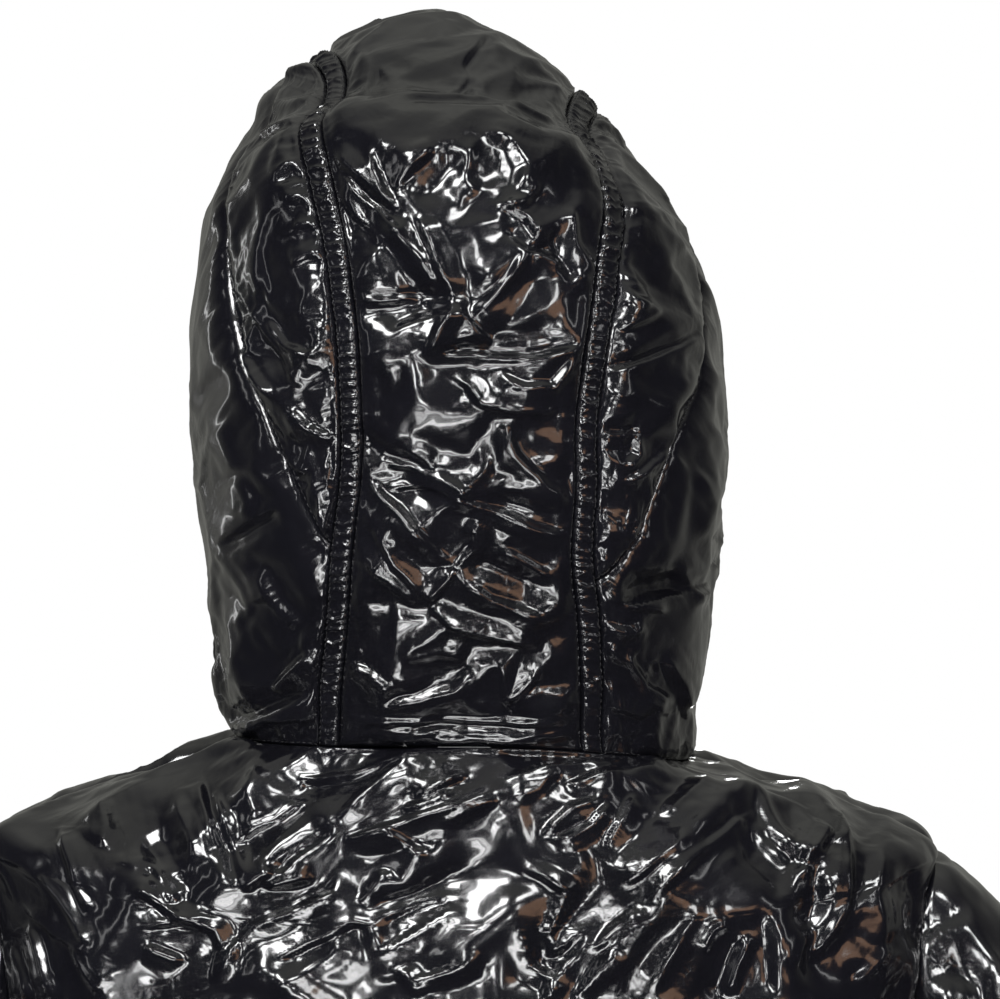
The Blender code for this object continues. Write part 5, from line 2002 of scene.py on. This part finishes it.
@dataclass
class Hood:
    """The hood: a centre panel between two strips, side panels and cheeks."""

    form: HoodForm
    torso: TorsoForm
    rows: int = 480
    rows_a_step: int = 10  # rows for each step that a side panel's ends are counted in
    centre_columns: int = 96
    side_columns: int = 60
    strip_columns: int = 12
    cheek_columns: int = 70
    puff: float = 0.005
    side_puff: float = 0.006
    side_fade: float = 0.016
    strip_puff: float = 0.0022
    tip_width: float = 0.0016
    pieces: dict[str, Cloth] = field(default_factory=dict)

    def strip_line(self, side: Side, offset: float) -> Array:
        """Directions down a strip's line, row by row, offset outwards from its middle.

        Args:
            side: The side of the strip.
            offset: How far outwards the line lies.

        Returns:
            One direction for each row.
        """
        keys = np.radians(STRIPS["pitch"])
        pitch = np.linspace(keys[0], keys[-1], self.rows + 1)
        sideways = side.value * (smooth_curve(keys, STRIPS[side.label], pitch) + offset)
        direction = np.stack([sideways / 0.2, np.cos(pitch), np.sin(pitch)], axis=-1)
        for _ in range(8):
            direction[..., 0] *= sideways / self.form.point(unit(direction))[..., 0]
        return unit(direction)

    def neck_direction(self, angle: Array) -> Array:
        """Directions to the neck seam: angle 0 is the middle of the back.

        Args:
            angle: Turns round the neck seam.

        Returns:
            One direction for each turn.
        """
        seam = self.torso.point(angle, np.full_like(angle, BODY_LENGTH))
        seam[..., 2] += NECK_GAP / 2
        return self.form.direction_to(seam)

    def neck_angle(self, side: Side, offset: float) -> float:
        """How far round the neck seam a strip's line starts, offset outwards from its middle.

        Args:
            side: The side of the strip.
            offset: How far outwards the line lies.

        Returns:
            The turn, in radians.
        """
        half_width, roundness = (float(TORSO[name][-1]) for name in ("half_width", "roundness"))
        sideways = float(STRIPS[side.label][0]) + offset
        return side.value * math.asin((sideways / half_width) ** (roundness / 2))

    def eased_to(self, lines: Array, target: Array, row: int) -> Array:
        """The lines with one end row on its target, and the rows beside it eased towards it.

        Args:
            lines: Directions, row by row.
            target: Where the end row goes.
            row: 0 or -1, the end that moves.

        Returns:
            The eased directions.
        """
        away = np.abs(np.arange(len(lines)) - (row % len(lines))) / (1.5 * self.rows_a_step)
        share = (1 - ease(away)).reshape((-1,) + (1,) * (lines.ndim - 1))
        return unit(lines + share * (target - lines[row]))

    def strip_edge(self, side: Side, offset: float) -> Array:
        """The strip's line, starting on the neck seam."""
        target = self.neck_direction(np.array([self.neck_angle(side, offset)]))[0]
        return self.eased_to(self.strip_line(side, offset), target, 0)

    def over_the_head(self, edges: tuple[tuple[Side, float], tuple[Side, float]], columns: int) -> Array:
        """Directions of a band over the head between two lines, from the neck seam up.

        Args:
            edges: Side and offset of each line.
            columns: Steps from one line to the other.

        Returns:
            A grid of directions.
        """
        first, last = (self.strip_edge(side, offset) for side, offset in edges)
        start, end = (self.neck_angle(side, offset) for side, offset in edges)
        directions = straight_across(first, last, columns)
        return self.eased_to(directions, self.neck_direction(np.linspace(start, end, columns + 1)), 0)

    def panel_rows(self, side: Side) -> slice:
        """The rows that a side panel spans."""
        return slice(side.pick((8, 6)) * self.rows_a_step, 38 * self.rows_a_step + 1)

    def side_seam(self, side: Side) -> Array:
        """Directions round the side panel's seam, for the rows that it spans.

        Args:
            side: The side of the panel.

        Returns:
            One direction for each row.
        """
        tips = self.strip_line(side, STRIP_HALF_WIDTH + SEAM_GAP + self.tip_width)[self.panel_rows(side)]
        keys, at = np.linspace(0, 1, len(SIDE_SEAM.rows)), np.linspace(0, 1, len(tips))
        columns = (SIDE_SEAM[side.label + name] for name in ("_rise", "_turn"))
        rise, turn = (np.radians(smooth_curve(keys, values, at)) for values in columns)
        return self.eased_to(self.eased_to(towards(side.value * turn, rise), tips[0], 0), tips[-1], -1)

    def beside(self, line: Array, distance: float) -> Array:
        """A line of directions moved this far on the hood, to the right as seen from outside.

        Args:
            line: Directions, row by row.
            distance: How far they move, in metres.

        Returns:
            The moved directions.
        """
        radius = np.linalg.norm(self.form.point(line) - np.array(self.form.eye), axis=-1, keepdims=True)
        right = unit(np.cross(np.gradient(line, axis=0), line))
        return unit(line + right * distance / radius)

    def cheek_edge(self, side: Side) -> Array:
        """Directions along the neck seam from strip to chin, then up the face opening.

        Args:
            side: The side of the cheek.

        Returns:
            One direction for each row.
        """
        start = abs(self.neck_angle(side, STRIP_HALF_WIDTH + SEAM_GAP + self.tip_width))
        chin = self.rows // 2
        end = math.pi - float(self.torso.front_edge_angle(np.array([BODY_LENGTH]))[0])
        turns = start + (end - start) * np.linspace(0, 1, chin + 1)
        along_neck = self.neck_direction(side.value * turns)
        edge = FACE_EDGE.rows[::-1] * [side.value, 1, 1]
        keys, at = np.linspace(0, 1, len(edge)), np.linspace(0, 1, self.rows - chin + 1)
        up_face = self.form.direction_to(smooth_curve(keys, edge, at))
        target = self.strip_line(side, STRIP_HALF_WIDTH + SEAM_GAP + self.tip_width)[-1]
        return np.concatenate([along_neck[:-1], self.eased_to(up_face, target, -1)])

    def piece(self, name: str, directions: Array, puff: float, fade: float, **looks: object) -> None:
        """Lays out one piece.

        Args:
            name: The piece's node.
            directions: A grid of directions from the hood's eye.
            puff: How far the piece rises between its seams.
            fade: The distance that it rises over.
            **looks: What the film does on it, as Cloth takes it.
        """
        base = self.form.point(unit(directions))
        patch = Patch(base, self.form.away(base))
        rise = puff * loft(patch.from_side, fade) * loft(np.minimum(patch.v, patch.from_end), fade)
        self.pieces[name] = Cloth("cloth_" + name, name, patch, rise, rests_on=("hood_centre",), **looks)

    def lay_out(self) -> None:
        """Lays out the seven pieces."""
        beside = STRIP_HALF_WIDTH + SEAM_GAP
        edges = ((Side.LEFT, -beside), (Side.RIGHT, -beside))
        self.piece(
            "hood_centre", self.over_the_head(edges, self.centre_columns), self.puff, PUFF_FADE,
            cut=Cut(0.145, 0.63, 0.080),
            back_folds=HOOD_FOLDS,
            side_pucker=Pucker(0.0055, 0.0010, 0.010, 601),
            end_pucker=Pucker(0.0060, 0.0009, 0.009, 611),
            crumples=film_crumples(201, 0.7),
        )
        for side, salt in ((Side.LEFT, 701), (Side.RIGHT, 801)):
            edges = ((side, STRIP_HALF_WIDTH), (side, -STRIP_HALF_WIDTH))
            band = self.over_the_head(edges, self.strip_columns)
            self.piece(
                "hood_strip_" + side.label, finer(band, 3), self.strip_puff, STRIP_HALF_WIDTH,
                cut=Cut(0.021, 0.60, 0.0115),
                side_pucker=Pucker(0.0044, 0.0032, 0.012, salt, held=0.0008),
                crumples=(Crumple(0.0045, 0.00030, salt + 5, 0.0, 1.6),),
                calm=1.0,
            )
            seam, rows = self.side_seam(side), self.panel_rows(side)
            inner_line = self.strip_edge(side, beside)
            panel = straight_across(seam, inner_line[rows], self.side_columns)
            self.piece(
                "hood_side_" + side.label, panel, self.side_puff, self.side_fade,
                cut=Cut(0.075, 0.34, 0.0160),
                back_folds=HOOD_FOLDS,
                side_pucker=Pucker(0.0050, 0.0013, 0.013, salt + 20),
                crumples=film_crumples(salt + 30, side.pick((1.0, 0.2))),
            )
            inner_line[rows] = self.beside(seam, -side.value * SEAM_GAP)
            cheek = round_the_side(self.cheek_edge(side), inner_line, self.cheek_columns)
            self.piece(
                "hood_cheek_" + side.label, cheek, self.puff, PUFF_FADE,
                cut=Cut(0.31, 0.50, 0.085),
                back_folds=HOOD_FOLDS,
                strewn_folds=strewn((-100, 60), (40, 700), 34, 0.5 * side.value, salt + 40),
                side_pucker=Pucker(0.0060, 0.0011, 0.012, salt + 50),
                end_pucker=Pucker(0.0060, 0.0009, 0.009, salt + 60),
                crumples=film_crumples(salt + 70, 0.5, 0.9, 0.5),
            )


def finer(directions: Array, times: int) -> Array:
    """The same grid of directions with this many rows for each one.

    Args:
        directions: A grid of directions.
        times: How many rows one becomes.

    Returns:
        The finer grid.
    """
    at = np.linspace(0, len(directions) - 1, (len(directions) - 1) * times + 1)
    low = np.minimum(at.astype(int), len(directions) - 2)
    share = (at - low)[:, None, None]
    return unit(directions[low] * (1 - share) + directions[low + 1] * share)


def straight_across(first: Array, last: Array, columns: int) -> Array:
    """Directions from one line to another, row by row, along great circles.

    Args:
        first: One line's directions.
        last: The other's.
        columns: Steps between them.

    Returns:
        A grid of directions.
    """
    share = np.linspace(0, 1, columns + 1)[:, None]
    angle = np.arccos(np.clip((first * last).sum(-1), -1, 1))[:, None, None]
    mixed = np.sin((1 - share) * angle) * first[:, None] + np.sin(share * angle) * last[:, None]
    return mixed / np.sin(angle)


def towards(turn: Array, rise: Array) -> Array:
    """Directions at a turn from the middle of the back and an elevation."""
    return np.stack([np.sin(turn) * np.cos(rise), np.cos(turn) * np.cos(rise), np.sin(rise)], axis=-1)


def round_the_side(first: Array, last: Array, columns: int) -> Array:
    """Directions from one line to another, by even steps of turn and elevation.

    Args:
        first: One line's directions.
        last: The other's.
        columns: Steps between them.

    Returns:
        A grid of directions.
    """
    share = np.linspace(0, 1, columns + 1)
    ends = [(np.arctan2(line[:, 0], line[:, 1]), np.arcsin(line[:, 2])) for line in (first, last)]
    return towards(*(start[:, None] + (end - start)[:, None] * share for start, end in zip(*ends)))


@dataclass
class Sleeve:
    """A sleeve as rings from its armhole to the cuff, with the seam under the arm."""

    form: TorsoForm
    side: Side
    columns: int = 132
    cap_row: float = 0.0021
    plain_row: float = 0.0046
    cap_puff: float = 0.004
    channel_puff: float = 0.0104
    cuff_share: float = 0.35
    under_arm_loss: float = 0.55
    cloth: Cloth = field(init=False)

    @property
    def channel_height(self) -> float:
        """The height of one sewn channel."""
        return (SLEEVE_LENGTH - CUFF_BAND - FIRST_SLEEVE_SEAM) / SLEEVE_CHANNELS

    def armhole(self, turn: Array) -> Array:
        """The armhole's points: turn 0 is the shoulder tip, a quarter turn the back.

        Args:
            turn: Turns round the armhole.

        Returns:
            One point for each turn.
        """
        share = (1 - np.cos(turn)) / 2
        along = TIP - (TIP - ARMPIT) * share
        angle = self.form.armhole_angle(self.side, along)
        angle = np.where(turn < 0, math.pi - angle, angle)
        return self.form.point(self.side.value * angle, along)

    def loft(self, along: Array) -> Array:
        """Loft down the sleeve: a plain cap, sewn channels and a turned cuff.

        Args:
            along: Distances down the sleeve.

        Returns:
            Heights in metres.
        """
        end = SLEEVE_LENGTH - CUFF_BAND
        channel = channel_loft(along, FIRST_SLEEVE_SEAM, self.channel_height, self.channel_puff)
        cap = self.cap_puff * loft(along) * loft(FIRST_SLEEVE_SEAM - along)
        cuff = turned_loft(along, end, CUFF_BAND, self.cuff_share * self.channel_puff)
        return np.where(along < FIRST_SLEEVE_SEAM, cap, np.where(along < end, channel, cuff))

    def lay_out(self) -> None:
        """Lays out the sleeve."""
        sign = self.side.value
        seams = FIRST_SLEEVE_SEAM + self.channel_height * np.arange(SLEEVE_CHANNELS + 1)
        cap, plain = np.arange(0, 0.17, self.cap_row), np.arange(0.17, SLEEVE_LENGTH, self.plain_row)
        along = np.unique(np.concatenate([cap, plain, seams, [0.0005, SLEEVE_LENGTH]]))
        turn = 2 * math.pi * np.arange(self.columns) / self.columns - math.pi
        start = self.armhole(turn) * [sign, 1, 1]
        at = {name: values[:, None] for name, values in SLEEVE.at(along).items()}
        cosine, sine = np.cos(turn), np.sin(turn)
        x = (at["top_x"] + at["low_x"]) / 2 + cosine * (at["top_x"] - at["low_x"]) / 2
        z = (at["top_z"] + at["low_z"]) / 2 + cosine * (at["top_z"] - at["low_z"]) / 2
        y = at["mid_y"] + sine * at["half_depth"]
        rings = np.stack([x, y, z], axis=-1)
        rings += (1 - ease(along / CAP_LENGTH))[:, None, None] * (start - rings[0])
        away = unit(rings - rings.mean(axis=1, keepdims=True))
        rings[..., 0] += SEAM_GAP
        rings *= [sign, 1, 1]
        away *= [sign, 1, 1]
        patch = Patch(rings, away, around=True)
        off_body = ease((0.5 + cosine) / 0.5)
        puff = self.loft(along)[:, None] * (1 - self.under_arm_loss * (1 - off_body))
        salt, name = self.side.pick((901, 951)), "sleeve_" + self.side.label
        everywhere = np.repeat(along[:, None], self.columns, axis=1)
        puff = puff + channel_pucker(patch.u, everywhere, seams, 0.0030, salt)
        self.cloth = Cloth(
            "cloth_" + name, name, patch, puff,
            cut=Cut(0.51, 0.63, 0.22),
            strewn_folds=strewn((-200, 0), (200, 150), 42, 1.4, salt + 20),
            trial_spacing=0.0045,
            end_pucker=Pucker(0.0070, 0.0014, 0.014, salt + 30),
            crumples=film_crumples(salt + 40, 1.3, 1.4),
        )


@dataclass
class Zip:
    """The closed front zip: moulded teeth on two tapes, a slider and its pull."""

    form: TorsoForm
    finishes: Finishes
    foot: float = 0.002
    top: float = 0.004
    pitch: float = 0.0025
    tooth_height: float = 0.0016
    tooth_depth: float = 0.0024
    tape_depth: float = 0.0050
    rounding: float = 0.00035

    def tooth(self) -> tuple[Array, list[Face]]:
        """One tooth with its corners cut, laid out across, up and out.

        Returns:
            The tooth's points, and the point numbers of each face.
        """
        top, cut = self.tooth_height / 2, 0.0004
        low, high = -0.0006, CHAIN_HALF_WIDTH - 0.0002
        lower = [(low, cut - top), (low + cut, -top), (high - cut, -top), (high, cut - top)]
        outline = lower + [(across, -up) for across, up in reversed(lower)]
        middle = np.array([(low + high) / 2, 0.0])
        rings = []
        for out, shrink in ((-0.5, 0.75), (-0.32, 1.0), (0.32, 1.0), (0.5, 0.75)):
            ring = middle + (np.array(outline) - middle) * shrink
            rings.append(np.column_stack([ring, np.full(8, out * self.tooth_depth)]))
        return np.concatenate(rings), tube_faces(len(rings), len(outline))

    def build_teeth(self) -> None:
        """Two rows of teeth that mesh, in place of the plain chain."""
        shape, faces = self.tooth()
        points, all_faces = [], []
        for sign, shift in ((1, 0.0), (-1, 0.5)):
            along = np.arange(self.foot + shift * self.pitch, BODY_LENGTH - self.top, self.pitch)
            middle = self.form.centre_front(along, 0.0, 0.0)
            out = self.form.away(np.full_like(along, math.pi), along)
            up = unit(np.cross(out, np.array([1.0, 0.0, 0.0])))
            placed = (
                middle[:, None]
                + shape[:, :1] * np.array([sign, 0, 0])
                + shape[:, 1][None, :, None] * up[:, None]
                + shape[:, 2][None, :, None] * out[:, None]
            )
            for tooth in placed:
                first = len(points) * len(shape)
                points.append(tooth)
                all_faces += [tuple(first + i for i in face) for face in faces]
        obj = new_object("zip_teeth", np.concatenate(points), all_faces, self.finishes.teeth)
        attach(obj, "jacket")
        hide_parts("zip_chain")
        LOG.info("zip_teeth: %d teeth", len(points))

    def build_backing(self) -> None:
        """The tapes' woven edges behind the teeth, as two ribs that meet."""
        along = np.linspace(self.foot, BODY_LENGTH - self.top, 220)
        section = []
        for step in range(13):
            x = -CHAIN_HALF_WIDTH + step * CHAIN_HALF_WIDTH / 6
            section.append((x, -0.0016 - 0.0010 * abs(math.cos(math.pi * x / CHAIN_HALF_WIDTH))))
        section += [(CHAIN_HALF_WIDTH, -self.tape_depth), (-CHAIN_HALF_WIDTH, -self.tape_depth)]
        lines = np.stack([self.form.centre_front(along, x, depth) for x, depth in section], axis=1)
        rows, columns = lines.shape[:2]
        index = np.arange(rows * columns).reshape(rows, columns)
        faces = grid_quads(index, True).tolist() + [index[0].tolist(), index[-1].tolist()]
        obj = new_object("zip_backing", lines.reshape(-1, 3), faces, self.finishes.tape)
        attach(obj, "jacket")

    def build(self) -> None:
        """Makes the teeth and dresses the tapes, the slider and the pull."""
        self.build_teeth()
        self.build_backing()
        tape, metal = self.finishes.tape, self.finishes.metal
        dressed = {"tape_left": tape, "tape_right": tape, "slider": metal, "pull": metal}
        for name, finish in dressed.items():
            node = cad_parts["zip_" + name]
            node.data.materials.clear()
            node.data.materials.append(finish)
            if finish is metal:
                bevel = node.modifiers.new("soft_edges", "BEVEL")
                bevel.width = self.rounding
                bevel.segments = 2
                bevel.limit_method = "ANGLE"
                bevel.angle_limit = math.radians(40)
            LOG.info("zip_%s: dressed", name)


# ---- studio
@dataclass(frozen=True)
class Softbox:
    """A large soft light: where it stands, what it faces, its size and its radiance."""

    name: str
    place: Triple
    width: float
    height: float
    radiance: float
    colour: Triple = (1.0, 1.0, 1.0)
    target: Triple = (0.0, 0.0, 0.05)

    def build(self) -> None:
        """Makes the light, which the camera doesn't see."""
        light = bpy.data.lights.new(self.name, "AREA")
        light.shape = "RECTANGLE"
        light.size, light.size_y = self.width, self.height
        light.energy = self.radiance * math.pi * self.width * self.height
        light.color = self.colour
        obj = bpy.data.objects.new(self.name, light)
        obj.location = self.place
        facing = Vector(self.target) - Vector(self.place)
        obj.rotation_euler = facing.to_track_quat("-Z", "Y").to_euler()
        obj.visible_camera = False
        bpy.context.scene.collection.objects.link(obj)


SOFTBOXES = (
    Softbox("key", (0.75, 1.45, 1.55), 0.62, 0.46, 23.0),
    Softbox("near_key", (0.55, 2.10, 1.05), 0.50, 0.26, 22.0),
    Softbox("right_key", (-0.70, 1.60, 1.45), 0.55, 0.45, 17.0),
    Softbox("centre_low", (0.38, 2.25, 0.76), 0.34, 0.20, 16.0),
    Softbox("left_low", (1.30, 1.90, 0.50), 0.20, 0.30, 4.0),
    Softbox("knee_left", (0.30, 2.30, -0.30), 0.30, 0.20, 22.0),
    Softbox("knee_right", (-0.55, 2.20, -0.12), 0.14, 0.30, 20.0),
    Softbox("right_low", (-1.00, 2.10, 0.62), 0.22, 0.50, 12.0),
    Softbox("side_strip", (-1.65, 0.90, 0.65), 0.16, 0.90, 2.5),
    Softbox("left_strip", (1.70, 0.80, 0.55), 0.16, 0.90, 2.0),
    Softbox("low_strip", (0.10, 2.30, -0.75), 1.30, 0.16, 9.0),
    Softbox("floor_strip", (0.12, 1.25, -0.55), 0.80, 0.10, 14.0),
    Softbox("front_left", (0.18, -2.35, 0.05), 0.14, 0.65, 15.0),
    Softbox("front_right", (-0.20, -2.25, 0.02), 0.10, 0.60, 13.0),
    Softbox("front_low", (0.05, -2.20, -0.48), 1.10, 0.10, 10.0),
    Softbox("front_strip", (1.55, -1.10, 0.25), 0.08, 1.00, 3.0),
    Softbox("warm_card", (-1.15, 1.60, 0.15), 0.60, 0.60, 1.5, (1.0, 0.58, 0.36)),
)


@dataclass(frozen=True)
class Studio:
    """Camera, floor, soft lights and the room's pale surround."""

    target: Triple = (-0.019, 0.0, 0.116)
    elevation: float = math.radians(3)
    distance: float = 2.2
    focal_pixels: float = 4314.0
    image_width: int = 1000
    sensor: float = 36.0
    floor_drop: float = 0.012
    floor_radius: float = 1.6

    def build_camera(self) -> None:
        """The camera behind the jacket, a little above its shoulders."""
        camera = bpy.data.cameras.new("camera")
        camera.sensor_width = self.sensor
        camera.lens = self.focal_pixels / self.image_width * self.sensor
        camera.clip_start, camera.clip_end = 0.05, 20.0
        obj = bpy.data.objects.new("camera", camera)
        back = Vector((0, math.cos(self.elevation), math.sin(self.elevation)))
        obj.location = Vector(self.target) + back * self.distance
        obj.rotation_euler = (math.pi / 2 - self.elevation, 0, math.pi)
        bpy.context.scene.collection.objects.link(obj)
        bpy.context.scene.camera = obj

    def build_floor(self) -> None:
        """A round pale floor just under the hem."""
        level = CAD_BOX[0][2] - self.floor_drop
        steps = 96
        turn = 2 * math.pi * np.arange(steps) / steps
        ring = np.stack([np.cos(turn), np.sin(turn), np.zeros(steps)], axis=-1) * self.floor_radius
        points = np.concatenate([ring + [0, 0, level], ring * 0.995 + [0, 0, level - 0.01]])
        material, graph, shader, place = new_material("pale_floor")
        grain = graph.noise(place.outputs["Object"], 40.0, 5.0)
        tone = graph.mix(grain, (0.78, 0.78, 0.77, 1), (0.83, 0.83, 0.82, 1))
        graph.feed(shader, Base_Color=tone, Roughness=0.7)
        floor = new_object("floor", points, tube_faces(2, steps), material)
        floor.data.shade_flat()
        floor.visible_glossy = False

    def build_surround(self) -> None:
        """A pale backdrop for the camera; what the film mirrors is lighter in front."""
        world = bpy.data.worlds.new("surround")
        bpy.context.scene.world = world
        world.use_nodes = True
        graph = Graph(world.node_tree)
        shader = world.node_tree.nodes["Background"]
        place = graph.add("TexCoord")
        axes = graph.add("SeparateXYZ", Vector=place.outputs["Generated"])
        forward = graph.ramp(axes.outputs["Y"], -0.9, 0.15, 0.42, 0.0)
        upward = graph.ramp(axes.outputs["Z"], 0.60, 1.0, 0.0, 0.85)
        share = graph.math("ADD", forward, upward, clamp=True)
        room = graph.mix(share, (0.013, 0.013, 0.017, 1), (0.40, 0.40, 0.36, 1))
        seen = graph.add("LightPath").outputs["Is Camera Ray"]
        graph.feed(shader, Color=graph.mix(seen, room, (1, 1, 1, 1)))

    def build(self) -> None:
        """Makes everything round the jacket."""
        bpy.context.scene.view_settings.view_transform = "Standard"
        self.build_camera()
        self.build_floor()
        self.build_surround()
        for softbox in SOFTBOXES:
            softbox.build()


# ---- assembly
def sew_hood(hood: Hood, finishes: Finishes) -> None:
    """Stitching along the hood's strips, panels, face opening and neck.

    Args:
        hood: The hood, with its pieces built.
        finishes: The jacket's finishes.
    """
    stitching = Stitching("thread_hood")
    for side in Side:
        strip = hood.pieces["hood_strip_" + side.label]
        for left in (True, False):
            stitching.add(*strip.line_off_side(0.0011, left))
        panel = hood.pieces["hood_side_" + side.label]
        stitching.add(*panel.line_off_side(0.0016, True))
        cheek = hood.pieces["hood_cheek_" + side.label]
        line, away = cheek.line_off_side(0.0022, True)
        stitching.add(line, away)
    stitching.build(finishes.thread)


def sew_body(body: Body, finishes: Finishes) -> None:
    """Stitching along the body's channels, hem and zip.

    Args:
        body: The body, with its panels built.
        finishes: The jacket's finishes.
    """
    stitching = Stitching("thread_body")
    for cloth in body.pieces.values():
        for seam in BODY_SEAMS:
            row = int(np.argmin(np.abs(body.rows - seam)))
            stitching.add(cloth.outer[row], cloth.patch.away[row])
    for side in Side:
        stitching.add(*body.pieces["front_" + side.label].line_off_side(0.0018, False))
    stitching.build(finishes.thread)


def sew_sleeves(sleeves: list[Sleeve], finishes: Finishes) -> None:
    """Stitching round the sleeves' channels.

    Args:
        sleeves: The sleeves, built.
        finishes: The jacket's finishes.
    """
    stitching = Stitching("thread_sleeves")
    for sleeve in sleeves:
        middle = sleeve.cloth.patch.v.mean(axis=1)
        for k in range(SLEEVE_CHANNELS + 1):
            seam = FIRST_SLEEVE_SEAM + k * sleeve.channel_height
            row = int(np.argmin(np.abs(middle / middle[-1] * SLEEVE_LENGTH - seam)))
            stitching.add(sleeve.cloth.outer[row], sleeve.cloth.patch.away[row], closed=True)
    stitching.build(finishes.thread)


def main() -> None:
    """Builds the jacket and the studio round it."""
    logging.basicConfig(level=logging.INFO, format="%(name)s %(message)s")
    finishes = Finishes()
    torso = TorsoForm()
    body, hood = Body(torso), Hood(HoodForm(), torso)
    sleeves = [Sleeve(torso, side) for side in Side]
    for part in (body, hood, *sleeves):
        part.lay_out()
    cloths = [*body.pieces.values(), *hood.pieces.values(), *(sleeve.cloth for sleeve in sleeves)]
    Settling().run([cloth for cloth in cloths if "strip" not in cloth.name])
    for cloth in cloths:
        made = cloth.build()
        made.data.materials.append(finishes.shell)
        made.data.materials.append(finishes.lining)
    sew_hood(hood, finishes)
    sew_body(body, finishes)
    sew_sleeves(sleeves, finishes)
    Zip(torso, finishes).build()
    Studio().build()


if __name__ == "__main__":
    main()
